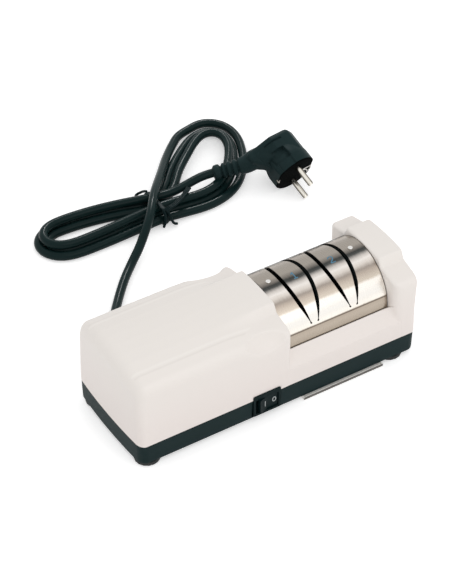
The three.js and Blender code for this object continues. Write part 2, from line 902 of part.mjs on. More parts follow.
function steelCover() {
  const foot = (side, inset) => new THREE.Vector2(side * (coverFootHalf - inset), coverAxisHeight);
  const sheet = prism(
    [
      foot(1, 0),
      ...archPoints(coverRadius, foldAngle, coverArcSteps),
      foot(-1, 0),
      foot(-1, coverThickness),
      ...archPoints(coverRadius - coverThickness, -foldAngle, coverArcSteps),
      foot(1, coverThickness),
    ],
    "x",
    coverStart,
    coverEnd,
  );
  const slots = eachSlot((centre, side) =>
    slotCutter(centre, side, slotWidth, slotTipWidth, slotTipHeight),
  );
  const tips = eachSlot((centre, side) => {
    const x = centre + side * slotTipHalfGap;
    return rod(slotTipHoleRadius, "y", -halfWidth, halfWidth, x, slotTipHeight, screwSides);
  });
  return cut(sheet, slots, tips, coverScrewBores());
}

// Blade guide: a plastic saddle under the cover with two cheeks beside each slot.
const guideOuter = coverRadius - coverThickness - gap;
const guideInner = guideOuter - guideThickness;
const guideBottom = shaftHeight + discRadius + discClearance;

function bladeGuide() {
  const from = coverStart + guideEndMargin;
  const to = coverEnd - guideEndMargin;
  const over = archPoints(guideOuter, guideHalfAngle, guideArcSteps);
  const back = archPoints(guideInner, -guideHalfAngle, guideArcSteps);
  const saddle = prism([...over, ...back], "x", from, to);
  const cheekBlock = block([from, to], [-guideCheekHalf, guideCheekHalf], [guideBottom, coverTop]);
  const cheekRoom = cheekBlock.intersect(prism(over, "x", from, to));
  const cheeks = eachSlot((centre, side) => {
    const width = guideSlotWidth + 2 * guideCheek;
    return slotCutter(centre, side, width, width, guideBottom).intersect(cheekRoom);
  });
  const bossTop = coverAxisHeight + guideOuter - guideThickness / 2;
  const bosses = coverScrewPlaces.map((x) =>
    rod(guideBossRadius, "z", bossTop - coverScrewLength, bossTop, x, 0),
  );
  const slots = eachSlot((centre, side) =>
    slotCutter(centre, side, guideSlotWidth, guideSlotWidth, slotTipHeight),
  );
  return cut(join(saddle, cheeks, bosses), slots, coverScrewBores());
}

// A bar magnet on the outer face of each outer cheek, leaning with its slot.
function magnet(centre, side) {
  const near = guideSlotWidth / 2 + guideCheek + gap / Math.cos(slotLean);
  const far = near + magnetThickness / Math.cos(slotLean);
  const saddleAbove = Math.sqrt(guideInner * guideInner - (magnetLength * magnetLength) / 4);
  const high = coverAxisHeight + saddleAbove - magnetDrop;
  const low = high - magnetHeight * Math.cos(slotLean);
  const at = (z, out) => [slotMiddle(centre, side, z) + side * out, z];
  const points = [at(low, near), at(low, far), at(high, far), at(high, near)];
  return prism(outline(points), "y", -magnetLength / 2, magnetLength / 2);
}

function coverScrew(x) {
  const seat = coverTop + gap;
  return turned(
    [
      [0, seat - coverScrewLength],
      [coverScrewRadius, seat - coverScrewLength],
      [coverScrewRadius, seat],
      [coverScrewHeadRadius, seat],
      [coverScrewHeadRadius * coverScrewCrownShare, seat + coverScrewHeadHeight * coverScrewRimShare],
      [0, seat + coverScrewHeadHeight],
    ],
    "z",
    x,
    0,
    screwSides,
  );
}

// Parts on the shaft line

const ring = (inner, outer, from, to, sides = roundSides) =>
  turned(
    [
      [inner, from],
      [outer, from],
      [outer, to],
      [inner, to],
      [inner, from],
    ],
    "x",
    0,
    shaftHeight,
    sides,
  );
const onShaft = (radius, from, to, sides = roundSides) => rod(radius, "x", from, to, 0, shaftHeight, sides);
const besideShaft = (radius, place, from, to) =>
  rod(radius, "x", from, to, place.x, shaftHeight + place.y, screwSides);

const spindleEnd = bearingPlaces[1] + bearingLength / 2 + spindleTail;
const spindleBore = spindleRadius + gap;
const discHubFace = discPairGap / 2 + discHub;

// A pair of thin grinding discs stands back to back between the two slots of a stage.
// Their hubs nearly touch and hold the rims apart.
function grindingDisc(centre, side) {
  const at = (distance) => centre + side * distance;
  const inner = discPairGap / 2;
  return turned(
    [
      [spindleBore, at(gap / 2)],
      [discHubRadius, at(gap / 2)],
      [discHubRadius, at(inner)],
      [discRadius, at(inner)],
      [discRadius, at(inner + discRim)],
      [discHubRadius, at(inner + discRim)],
      [discHubRadius, at(discHubFace)],
      [spindleBore, at(discHubFace)],
      [spindleBore, at(gap / 2)],
    ],
    "x",
    0,
    shaftHeight,
    discSides,
  );
}

// The square outline with rounded corners that the core and its end bells share.
function motorSquare() {
  const low = shaftHeight - statorHalf;
  return outline(rectangle(-statorHalf, statorHalf, low, low + 2 * statorHalf, statorCorner));
}

function statorCore() {
  const half = statorLength / 2;
  const outer = prism(motorSquare(), "x", motorCentre - half, motorCentre + half);
  const bore = onShaft(statorBore, motorCentre - statorLength, motorCentre + statorLength);
  const slots = Array.from({ length: statorSlots }, (_, i) => {
    const angle = (2 * Math.PI * (i + 0.5)) / statorSlots;
    const place = new THREE.Vector2(statorBore + statorSlotRadius / 2, 0);
    place.rotateAround(new THREE.Vector2(), angle);
    return besideShaft(statorSlotRadius, place, motorCentre - statorLength, motorCentre + statorLength);
  });
  return cut(outer, bore, slots);
}

function winding(side) {
  const face = motorCentre + side * (statorLength / 2 + gap);
  const at = (share) => face + side * windingLength * share;
  return turned(
    [
      [windingInner, at(0)],
      [windingOuter, at(0)],
      [windingOuter, at(windingStraightShare)],
      [windingOuter - windingRound, at(1)],
      [windingInner + windingRound, at(1)],
      [windingInner, at(windingStraightShare)],
      [windingInner, at(0)],
    ],
    "x",
    0,
    shaftHeight,
  );
}

// Cast end bell: a square cup over the winding, with vents, a bearing boss and a foot.
function endBell(side) {
  const open = motorCentre + side * (statorLength / 2 + gap);
  const back = open + side * bellDepth;
  const span = (a, b) => [Math.min(a, b), Math.max(a, b)];
  const cup = prism(motorSquare(), "x", ...span(open, back));
  const room = onShaft(statorHalf - bellWall, ...span(open - side * overrun, back - side * bellWall));
  const boss = onShaft(bossRadius, ...span(back - side * bossDepth, back));
  const bossFace = back - side * bossDepth;
  const seatFloor = bossFace + side * (motorBearingLength + gap);
  const seat = onShaft(motorBearingRadius + gap, ...span(bossFace - side * overrun, seatFloor));
  const bore = onShaft(motorShaftRadius + 2 * gap, ...span(open, back + side * overrun));
  const vents = Array.from({ length: bellVents }, (_, i) => {
    const slot = rectangle(bellVentInner, bellVentOuter, -bellVentWidth / 2, bellVentWidth / 2);
    const angle = (2 * Math.PI * (i + 0.5)) / bellVents;
    const reach = span(back - side * (bellWall + skin), back + side * overrun);
    return prism(spun(outline(slot), angle, 0, shaftHeight), "x", ...reach);
  });
  return cut(join(cut(cup, room), boss), seat, bore, vents);
}

function motorBearing(side) {
  const back = motorCentre + side * bellEnd;
  const face = back - side * bossDepth;
  return ring(motorShaftRadius + gap, motorBearingRadius, face, face + side * motorBearingLength);
}

function coolingFan() {
  const start = fanPlace;
  const hub = onShaft(fanHubRadius, start, start + fanLength);
  const back = onShaft(fanRadius, start, start + fanBackThickness);
  const half = fanBladeThickness / 2;
  const blade = outline(rectangle(fanHubRadius - fanBladeThickness, fanRadius - skin, -half, half));
  const blades = Array.from({ length: fanBlades }, (_, i) =>
    prism(spun(blade, (2 * Math.PI * i) / fanBlades, 0, shaftHeight), "x", start + skin, start + fanLength),
  );
  const bore = onShaft(fanShaftRadius + gap, start - overrun, start + fanLength + overrun);
  return cut(join(hub, back, blades), bore);
}

const couplingMiddle = couplingPlace + couplingLength / 2;

function motorShaft() {
  const shoulder = fanPlace + fanLength + gap;
  return join(
    onShaft(fanShaftRadius, fanPlace - shaftTail, shoulder),
    onShaft(motorShaftRadius, shoulder - skin, couplingMiddle - couplingWeb / 2 - gap),
  );
}

const spindle = () => onShaft(spindleRadius, couplingMiddle + couplingWeb / 2 + gap, spindleEnd);

function coupling() {
  const end = couplingPlace + couplingLength;
  const sleeve = cut(
    onShaft(couplingRadius, couplingPlace, end),
    onShaft(motorShaftRadius + gap, couplingPlace - overrun, couplingMiddle - couplingWeb / 2),
    onShaft(spindleBore, couplingMiddle + couplingWeb / 2, end + overrun),
  );
  const grooves = Array.from({ length: couplingGrooves }, (_, i) => {
    const angle = (2 * Math.PI * i) / couplingGrooves;
    const place = new THREE.Vector2(couplingRadius, 0).rotateAround(new THREE.Vector2(), angle);
    return besideShaft(couplingGrooveRadius, place, couplingPlace - overrun, end + overrun);
  });
  return cut(sleeve, grooves);
}

function bearingCap(x) {
  const bottom = shaftHeight + gap;
  const points = outline([
    [-pedestalHalf, bottom],
    [pedestalHalf, bottom],
    [pedestalHalf, bottom + capShoulder],
    [capCrown, bottom + capHeight],
    [-capCrown, bottom + capHeight],
    [-pedestalHalf, bottom + capShoulder],
  ]);
  const plate = prism(points, "x", x - pedestalThickness / 2, x + pedestalThickness / 2);
  const seat = rod(bearingRadius + gap, "x", x - pedestalThickness, x + pedestalThickness, 0, shaftHeight);
  const pegs = [-1, 1].map((side) =>
    rod(pegRadius, "z", shaftHeight - pegLength, bottom + gap, x, side * pegOffset, screwSides),
  );
  return join(cut(plate, seat), pegs);
}

// Rocker switch

const rockerMiddle = (rockerBottom + rockerTop) / 2;
const pivotY = rockerPivotDepth - halfWidth;
const frameHalf = rockerWidth / 2 + rockerSwing;
const bezelFace = -halfWidth - bezelStand;

function switchBody() {
  const bezel = prism(
    outline(rectangle(bezelStart, bezelEnd, bezelBottom, bezelTop, bezelCorner)),
    "y",
    bezelFace,
    bezelFace + bezelDepth,
  );
  const bodyHalf = switchBodyWidth / 2;
  const body = block(
    [switchCentre - bodyHalf, switchCentre + bodyHalf],
    [bezelFace + bezelDepth - skin, bezelFace + bezelDepth + switchBodyDepth],
    [rockerBottom - switchWall, rockerTop + switchWall],
  );
  const back = bezelFace + bezelDepth + switchBodyDepth;
  const terminals = [-1, 0, 1].map((i) => {
    const x = switchCentre + i * terminalPitch;
    return block(
      [x - terminalHeight / 2, x + terminalHeight / 2],
      [back - skin, back + terminalLength],
      [rockerMiddle - terminalWidth / 2, rockerMiddle + terminalWidth / 2],
    );
  });
  const room = block(
    [switchCentre - frameHalf, switchCentre + frameHalf],
    [bezelFace - overrun, pivotY + rockerBack + rockerSwing],
    [rockerBottom - gap, rockerTop + gap],
  );
  const reach = rockerPinLength + gap;
  const pinHole = rod(
    rockerPinRadius + gap,
    "z",
    rockerBottom - reach,
    rockerTop + reach,
    switchCentre,
    pivotY,
    screwSides,
  );
  return cut(join(bezel, body, terminals), room, pinHole);
}

// The rocker's two faces meet in a shallow bend; at rest it leans with its off end in.
function rocker() {
  const half = rockerWidth / 2;
  const face = bezelFace + rockerFaceDepth - pivotY;
  const rise = half * Math.tan(rockerFaceBend);
  const points = [
    [0, face],
    [half, face - rise],
    [half - rockerSwing / 2, rockerBack / 2],
    [half / 2, rockerBack],
    [-half / 2, rockerBack],
    [rockerSwing / 2 - half, rockerBack / 2],
    [-half, face - rise],
  ].map((p) => new THREE.Vector2(...p));
  const body = prism(spun(points, rockerTilt, switchCentre, pivotY), "z", rockerBottom, rockerTop);
  const ends = [rockerBottom - rockerPinLength, rockerTop + rockerPinLength];
  return join(body, rod(rockerPinRadius, "z", ...ends, switchCentre, pivotY, screwSides));
}

// Filings tray: a folded sheet with a low rim, open upwards.
function filingsTray() {
  const sheet = block([trayStart, trayEnd], [-trayFront, trayBack], [trayBottom, trayTop]);
  const inside = block(
    [trayStart + traySheet, trayEnd - traySheet],
    [traySheet - trayFront, trayBack - traySheet],
    [trayBottom + traySheet, trayTop + overrun],
  );
  return cut(sheet, inside);
}

function rubberFoot(x, y) {
  const top = standHeight - gap;
  const bore = bodyScrewRadius + gap;
  return turned(
    [
      [footRecessRadius, 0],
      [rubberFootRadius - footEdge, 0],
      [rubberFootRadius, footEdge],
      [rubberFootRadius, top],
      [bore, top],
      [bore, footRecessDepth],
      [footRecessRadius, footRecessDepth],
      [footRecessRadius, 0],
    ],
    "z",
    x,
    y,
  );
}

function bodyScrew(x, y) {
  const seat = footRecessDepth - gap;
  return turned(
    [
      [0, seat - bodyScrewHeadHeight],
      [bodyScrewHeadRadius, seat - bodyScrewHeadHeight],
      [bodyScrewHeadRadius, seat],
      [bodyScrewRadius, seat],
      [bodyScrewRadius, postTop - wallThickness],
      [0, postTop - wallThickness / 2],
    ],
    "z",
    x,
    y,
    screwSides,
  );
}

// Terminal block and leads

const blockBottom = floorTop + gap;
const innerWall = halfWidth - wallThickness - baseTaper;
const blockCentre = motorEnd + blockRoom;
const blockMiddle = innerWall - blockWallRoom - blockWidth / 2;

function terminalBlock() {
  const [x, y] = [blockCentre, blockMiddle];
  const top = blockBottom + blockHeight;
  const body = block(
    [x - blockLength / 2, x + blockLength / 2],
    [y - blockWidth / 2, y + blockWidth / 2],
    [blockBottom, top],
  );
  const pitch = blockLength / blockPoles;
  const screws = Array.from({ length: blockPoles }, (_, i) => {
    const place = x + (i - (blockPoles - 1) / 2) * pitch;
    return rod(blockScrewRadius, "z", top - blockScrewRadius, top + overrun, place, y, screwSides);
  });
  return cut(body, screws);
}

const lead = (points) => tube(smooth(points), leadRadius, leadSides, leadSteps);

// Routes of the inner leads, from the cord to the block, the switch and the motor. Two
// leads run one over the other between the motor and the wall.
const laneY = (statorHalf + innerWall) / 2;
const laneLow = blockBottom + blockHeight / 2 - leadPitch / 2;
const laneHigh = laneLow + leadPitch;
const glandInside = innerWall - glandFlangeThickness - gap;
const blockStart = blockCentre - blockLength / 2 - gap;
const blockFar = blockCentre + blockLength / 2 + gap;
const switchBack = bezelDepth + switchBodyDepth + terminalLength + gap - halfWidth - bezelStand;
const bellFace = motorEnd + gap;
const lanePath = (side, z) => [
  [cordExit + side * leadBend, glandInside, cordHeight + side * leadRadius],
  [cordExit + side * leadBend, glandInside - leadBend, cordHeight + side * leadRadius],
  [cordExit + 2 * leadPitch, laneY, z],
  [blockStart - 2 * leadPitch, laneY, z],
  [blockStart - leadBend, laneY, z],
  [blockStart, laneY, z],
];
const liveRoute = lanePath(-1, laneLow);
const neutralRoute = lanePath(1, laneHigh);
const feedStart = [blockFar, blockMiddle - leadBend, laneHigh];
const returnStart = [blockFar, blockMiddle + leadBend, laneLow];
const switchFeedRoute = [
  feedStart,
  [feedStart[0] + leadBend, feedStart[1], laneHigh],
  [feedStart[0] + leadPitch, feedStart[1] - 2 * leadPitch, laneHigh],
  [switchCentre + 2 * leadPitch, 2 * leadPitch, floorTop + leadPitch],
  [switchCentre, switchBack + 2 * leadPitch, floorTop + leadPitch],
  [switchCentre, switchBack + leadBend, rockerMiddle],
  [switchCentre, switchBack, rockerMiddle],
];
const switchMotorRoute = [
  [switchCentre - terminalPitch, switchBack, rockerMiddle],
  [switchCentre - terminalPitch, switchBack + leadBend, rockerMiddle],
  [switchCentre - terminalPitch - leadPitch, switchBack + leadPitch, rockerMiddle + 2 * leadPitch],
  [bellFace + leadPitch, switchBack + leadPitch, rockerMiddle + 3 * leadPitch],
  [bellFace + leadBend, switchBack + leadPitch, rockerMiddle + 3 * leadPitch],
  [bellFace, switchBack + leadPitch, rockerMiddle + 3 * leadPitch],
];
const motorRoute = [
  returnStart,
  [returnStart[0] + leadBend, returnStart[1], laneLow],
  [returnStart[0] + leadBend, returnStart[1] - leadPitch, laneLow + 2 * leadPitch],
  [blockCentre, blockMiddle - 2 * leadPitch, blockBottom + blockHeight + 2 * leadPitch],
  [bellFace + 2 * leadPitch, statorBore + leadPitch, blockBottom + blockHeight + 3 * leadPitch],
  [bellFace + leadBend, statorBore + leadPitch, blockBottom + blockHeight + 3 * leadPitch],
  [bellFace, statorBore + leadPitch, blockBottom + blockHeight + 3 * leadPitch],
];

// Mains cord

const glandTip = halfWidth + gap + glandLength;

// Rings of given radius carried along a path, each square to it.
function sleeve(stations, sides) {
  const path = stations.map(([x, y, z]) => new THREE.Vector3(x, y, z));
  const side = new THREE.Vector3();
  const rings = path.map((point, i) => {
    const next = path[Math.min(i + 1, path.length - 1)];
    const ahead = next.clone().sub(path[Math.max(i - 1, 0)]).normalize();
    side.crossVectors(ahead, new THREE.Vector3(0, 0, 1)).normalize();
    const other = new THREE.Vector3().crossVectors(side, ahead);
    return circle(stations[i][3], sides).map((p) =>
      point.clone().addScaledVector(side, p.x).addScaledVector(other, p.y).toArray(),
    );
  });
  return loft(rings);
}

function cordGland() {
  const out = halfWidth + gap;
  const profile = [
    [0, innerWall - glandFlangeThickness],
    [glandFlangeRadius, innerWall - glandFlangeThickness],
    [glandFlangeRadius, innerWall],
    [glandNeckRadius, innerWall],
    [glandNeckRadius, out],
    [glandFlangeRadius, out],
    [glandFlangeRadius, out + glandFlangeThickness],
  ];
  const start = out + glandFlangeThickness;
  const pitch = (glandTip - start) / glandRibs;
  for (let i = 0; i < glandRibs; i++) {
    const radius = THREE.MathUtils.lerp(glandNeckRadius + glandRibDepth, glandTipRadius, i / (glandRibs - 1));
    const ribStart = start + pitch * (i + glandGrooveShare);
    profile.push([radius - glandRibDepth, start + pitch * i], [radius - glandRibDepth, ribStart]);
    profile.push([radius, ribStart], [radius, start + pitch * (i + 1)]);
  }
  profile.push([0, glandTip]);
  return turned(profile, "y", cordExit, cordHeight, neckSides);
}

// Route of the lead from the gland to the hank, chosen by hand: out of the back, down to
// the table, over the tied waist in a low hump and down beside the right lobe.
const leadRoute = [
  [cordExit, glandTip + gap, cordHeight],
  [cordExit, glandTip + gap + 2 * cordRadius, cordHeight],
  [-62.5, 90, 11],
  [-58, 104, 6.5],
  [-47.9, 118, 3.9],
  [-28.1, 140.7, 3.7],
  [-13, 154.8, 4.4],
  [0.9, 164.9, 9.4],
  [9, 171.3, 14.6],
  [19.4, 180.8, 19.3],
  [28.6, 192.3, 21],
  [39.1, 206.2, 20.3],
  [50, 219.5, 17],
  [62.2, 234.3, 12.6],
  [76.3, 251.9, 7.4],
  [90.7, 267.4, 4.1],
  [101, 276.4, 3.6],
];

// Route of the last stretch, over the right lobe towards the plug's strain relief.
const tailRoute = [
  [55, 207.2, 12.4],
  [65.2, 207.4, 13.4],
  [79.8, 208.6, 15],
  [90, 208.6, 16],
];

// Stations round the outermost loop of the hank, chosen by hand: the place of the loop,
// then the step by which each further loop lies inside it.
const hankStations = [
  [69, 247, 5.5, -5.6],
  [91, 268, 4, -8.5],
  [113, 283, -0.5, -11.5],
  [133, 286.5, -4.6, -11.5],
  [147, 276, -8, -8.8],
  [150.5, 257, -9.2, -4],
  [144, 235, -8.2, 0.5],
  [132, 213, -7.4, 4.4],
  [115, 195, -5, 7],
  [97, 186, -2, 7.6],
  [78, 183, 0, 7.6],
  [59, 184, 0, 7.8],
  [38, 185.8, 0, 7.3],
  [13, 185.5, 0, 7.8],
  [-15, 185, 0, 7.5],
  [-45, 185.4, 0, 7.4],
  [-58, 189.2, 3.7, 6.5],
  [-67.6, 198.4, 6.5, 3.7],
  [-71, 211, 7.3, 0],
  [-67.4, 223, 6.5, -3.7],
  [-58, 231.8, 3.7, -6.5],
  [-44, 235, 0, -7.5],
  [-14, 233.5, 0, -7.8],
  [14, 227.5, 0, -8.2],
  [38, 219.3, -0.5, -7.9],
  [54, 230, 4, -6.8],
];
const hankFirst = 2;
const hankLast = 76;
const hankReversal = 2;
const climbFrom = 49;
const climbTo = 56;

// Place of the hank's centre line: it spirals in through the lower layer, climbs along a
// run of the second loop and spirals out again on top. The waist is lifted by the tie.
function hankPlace(step) {
  const count = hankStations.length;
  const turns = step / count;
  const [x, y, inX, inY] = hankStations[step % count];
  const loops = turns < hankReversal ? turns : 2 * hankReversal - turns;
  const climb = THREE.MathUtils.smoothstep(step, climbFrom, climbTo);
  const z = cordRadius + floorClearance + climb * hankLayerStep;
  const place = new THREE.Vector3(x + loops * inX, y + loops * inY, z);
  const along = (place.x - tieCentre[0]) / tieLiftReach;
  place.z += tieLift * Math.exp(-along * along);
  return place;
}

function hankCurve() {
  const places = [];
  for (let step = hankFirst; step <= hankLast; step++) places.push(hankPlace(step));
  const straightEnd = (end, next) =>
    end.clone().sub(next).normalize().multiplyScalar(2 * cordRadius).add(end);
  places.unshift(straightEnd(places[0], places[1]));
  places.push(straightEnd(places.at(-1), places.at(-2)));
  return new THREE.CatmullRomCurve3(places, false, "centripetal");
}

const hankPath = hankCurve();

// Least gap between stretches of the hank that lie more than four diameters apart along it.
function leastSelfGap(curve, radius) {
  const length = curve.getLength();
  const points = curve.getSpacedPoints(Math.round(length / (radius / 2)));
  const apart = Math.round((8 * radius) / (length / (points.length - 1)));
  let least = Infinity;
  points.forEach((point, i) => {
    for (let j = i + apart; j < points.length; j++) least = Math.min(least, point.distanceTo(points[j]));
  });
  return least - 2 * radius;
}

console.log(`least gap of the hank to itself: ${leastSelfGap(hankPath, cordRadius).toFixed(2)} mm`);

function hankTube() {
  const last = hankPath.points.length - 1;
  const up = new THREE.Vector3(0, 0, 1);
  const rings = hankPath.points.map((point, i) => {
    const ahead = hankPath.getTangent(i / last);
    const side = new THREE.Vector3().crossVectors(ahead, up).normalize();
    const other = new THREE.Vector3().crossVectors(side, ahead);
    return circle(cordRadius, hankSides).map((p) =>
      point.clone().addScaledVector(side, p.x).addScaledVector(other, p.y).toArray(),
    );
  });
  return loft(rings);
}

// The two free ends meet the hank face to face.
const meeting = (share, sign) => {
  const end = hankPath.getPoint(share);
  const away = hankPath.getTangent(share).multiplyScalar(sign);
  const distances = [2 * cordRadius + gap, gap];
  return distances.map((distance) => end.clone().addScaledVector(away, distance).toArray());
};

const cordLead = () => tube(smooth([...leadRoute, ...meeting(0, -1)]), cordRadius, cordSides, cordSteps);

// Tie: a flat band round the waist of the hank
function cordTie() {
  const [x, y] = tieCentre;
  const loop = (inset) =>
    outline(
      rectangle(
        y - tieHalfSpan + inset,
        y + tieHalfSpan - inset,
        tieFloor + inset,
        tieFloor + tieHeight - inset,
        tieCorner - inset,
      ),
    );
  const band = prism(loop(0), "x", x - tieWidth / 2, x + tieWidth / 2);
  return cut(band, prism(loop(tieThickness), "x", x - tieWidth, x + tieWidth));
}

// Plug: its own axes run across the pins' line, along it and out of its face.
const pinDirection = new THREE.Vector3(...plugPinAxis).normalize();
const plugAcross = new THREE.Vector3(1, 0, 0);
plugAcross.addScaledVector(pinDirection, -plugAcross.dot(pinDirection)).normalize();
const plugAlong = new THREE.Vector3().crossVectors(pinDirection, plugAcross);
const plugFrame = new THREE.Matrix4().makeBasis(plugAcross, plugAlong, pinDirection);
plugFrame.setPosition(...plugPlace);
const inPlug = (geometry) => solid(geometry.applyMatrix4(plugFrame));

// Middle line and radius of the neck behind the plug and of its ribbed strain relief.
const neckRoute = [
  [136, 190, 29.2, 8.6],
  [128.5, 193.6, 26.6, 7.4],
  [120.8, 195.4, 23.4, 6.4],
];
const reliefEnd = [103.5, 203.5, 18.4, reliefTipRadius];

function plugBody() {
  const flattened = circle(plugFaceRadius).map(
    (p) => new THREE.Vector2(THREE.MathUtils.clamp(p.x, -plugFlat, plugFlat), p.y),
  );
  const face = inPlug(extruded(flattened, "z", -plugFaceDepth, 0));
  const half = plugBackShares.map(([u, v]) => [u * plugFaceRadius, v * plugFaceRadius, plugBackRound]);
  const back = outline([...half, ...[...half].reverse().map(([u, v, r]) => [u, -v, r])], outlineSteps);
  const plugEnd = plugFaceDepth + plugBackDepth;
  const depths = plugEndShares.map(([rise, width]) => [plugEnd - plugBackRound * rise, width]);
  depths.push([plugFaceDepth - plugBackRound, 1]);
  const rings = depths.map(([depth, width]) =>
    back.map((p) => new THREE.Vector3(p.x * width, p.y * width, -depth).applyMatrix4(plugFrame).toArray()),
  );
  const stations = [...neckRoute];
  const from = neckRoute.at(-1);
  for (let i = 0; i < reliefRibs; i++)
    for (const [place, groove] of reliefRibShares) {
      const share = (i + place) / reliefRibs;
      const station = from.map((value, k) => THREE.MathUtils.lerp(value, reliefEnd[k], share));
      station[3] -= reliefRibDepth * groove;
      stations.push(station);
    }
  stations.push(reliefEnd);
  const sockets = [-1, 1].map((side) => {
    const round = circle(pinRadius + gap, roundSides, 0, (side * pinPitch) / 2);
    return inPlug(extruded(round, "z", -pinSeat, overrun));
  });
  const grooves = [-1, 1].map((side) => inPlug(earthBox(side, gap, overrun)));
  return cut(join(face, loft(rings), sleeve(stations, neckSides)), sockets, grooves);
}

// Earth contact: a flat strip let into the flat on each side of the plug's face.
function earthBox(side, grow, out) {
  const inner = plugFlat - earthThickness - grow;
  const outer = plugFlat + out;
  const across = outline(
    rectangle(
      Math.min(side * inner, side * outer),
      Math.max(side * inner, side * outer),
      -earthWidth / 2 - grow,
      earthWidth / 2 + grow,
    ),
  );
  return extruded(across, "z", -earthDepth - grow, out > 0 ? out : 0);
}

function plugPin(side) {
  const v = (side * pinPitch) / 2;
  const profile = [
    [0, gap - pinSeat],
    [pinRadius, gap - pinSeat],
    [pinRadius, pinLength - pinRadius * pinRoundShares[0]],
    [pinRadius * pinTipShare, pinLength - pinRadius * pinRoundShares[1]],
    [0, pinLength],
  ].map(([radius, place]) => new THREE.Vector2(radius, place));
  const geometry = new THREE.LatheGeometry(profile, roundSides);
  geometry.applyMatrix4(new THREE.Matrix4().makeBasis(axes.z[0], axes.z[2], axes.z[1]));
  geometry.translate(0, v, 0);
  return inPlug(geometry);
}

// The last stretch runs from the hank to the plug's strain relief.
function cordTail() {
  const end = new THREE.Vector3(...reliefEnd);
  const away = end.clone().sub(new THREE.Vector3(...neckRoute.at(-1))).normalize();
  const atPlug = [2 * cordRadius + gap, gap].map((d) => end.clone().addScaledVector(away, d).toArray());
  const points = [...meeting(1, 1).reverse(), ...tailRoute, ...atPlug];
  return tube(smooth(points), cordRadius, cordSides, tailSteps);
}

// All pieces

piece("upper_housing", upperHousing(), whitePlastic);
piece("lower_base", lowerBase(), blackPlastic);
piece("bay_cover", steelCover(), stainless);
piece("blade_guide", bladeGuide(), guidePlastic);
const sideName = (side) => (side < 0 ? "left" : "right");
eachSlot((centre, side, stage) =>
  piece(`guide_magnet_${stage}_${sideName(side)}`, magnet(centre, side), magnetFinish),
);
coverScrewPlaces.forEach((x, i) => piece(`cover_screw_${i + 1}`, coverScrew(x), brightSteel));
piece("filings_tray", filingsTray(), stainless);
for (const [name, x, y] of footPlaces) {
  piece(`rubber_foot_${name}`, rubberFoot(x, y), rubber);
  piece(`body_screw_${name}`, bodyScrew(x, y), brightSteel);
}
piece("switch_body", switchBody(), darkPlastic);
piece("switch_rocker", rocker(), darkPlastic);
piece("motor_shaft", motorShaft(), brightSteel);
piece("cooling_fan", coolingFan(), darkPlastic);
for (const side of [-1, 1]) {
  piece(`end_bell_${sideName(side)}`, endBell(side), castAlloy);
  piece(`motor_bearing_${sideName(side)}`, motorBearing(side), brightSteel);
  piece(`winding_${sideName(side)}`, winding(side), copper);
}
piece("stator_core", statorCore(), lamination);
const rotorHalf = rotorLength / 2;
piece(
  "rotor_core",
  ring(motorShaftRadius + gap, statorBore - rotorGap, motorCentre - rotorHalf, motorCentre + rotorHalf),
  lamination,
);
piece("shaft_coupling", coupling(), darkPlastic);
piece("spindle", spindle(), brightSteel);
bearingPlaces.forEach((x, i) => {
  const half = bearingLength / 2;
  piece(`spindle_bearing_${i + 1}`, ring(spindleBore, bearingRadius, x - half, x + half), brightSteel);
  piece(`bearing_cap_${i + 1}`, bearingCap(x), blackPlastic);
});
stageCentres.forEach((centre, i) => {
  for (const side of [-1, 1])
    piece(`grinding_disc_${i + 1}_${sideName(side)}`, grindingDisc(centre, side), abrasive);
});
const spacerEnds = [
  [bearingPlaces[0] + bearingLength / 2, stageCentres[0] - discHubFace],
  [stageCentres[0] + discHubFace, stageCentres[1] - discHubFace],
  [stageCentres[1] + discHubFace, bearingPlaces[1] - bearingLength / 2],
];
spacerEnds.forEach(([from, to], i) =>
  piece(`spindle_spacer_${i + 1}`, ring(spindleBore, spacerRadius, from + gap, to - gap), castAlloy),
);
piece("terminal_block", terminalBlock(), finish(0xd9d6cf, 0.5));
piece("lead_live", lead(liveRoute), brownLead);
piece("lead_neutral", lead(neutralRoute), blueLead);
piece("lead_to_switch", lead(switchFeedRoute), brownLead);
piece("lead_switch_to_motor", lead(switchMotorRoute), brownLead);
piece("lead_block_to_motor", lead(motorRoute), blueLead);
piece("cord_gland", cordGland(), cordPlastic);
piece("cord_lead", cordLead(), cordPlastic);
piece("cord_hank", hankTube(), cordPlastic);
piece("cord_tie", cordTie(), darkPlastic);
piece("cord_tail", cordTail(), cordPlastic);
piece("plug_body", plugBody(), cordPlastic);
for (const side of [-1, 1]) {
  piece(`plug_pin_${side < 0 ? "lower" : "upper"}`, plugPin(side), brightSteel);
  piece(`earth_contact_${sideName(side)}`, inPlug(earthBox(side, 0, 0)), brightSteel);
}

export default group;
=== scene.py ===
"""Electric knife sharpener: white motor housing, slotted steel cover over the grinding
discs, dark base with its switch, filings tray, and a tied mains cord with its plug.

All shapes are worked out in millimetres, X along the body towards the sharpening end,
Y to the back, Z up, and become metres when they are put into a mesh."""

import json
import math

import bmesh
import bpy
import numpy as np
from mathutils import Matrix, Vector


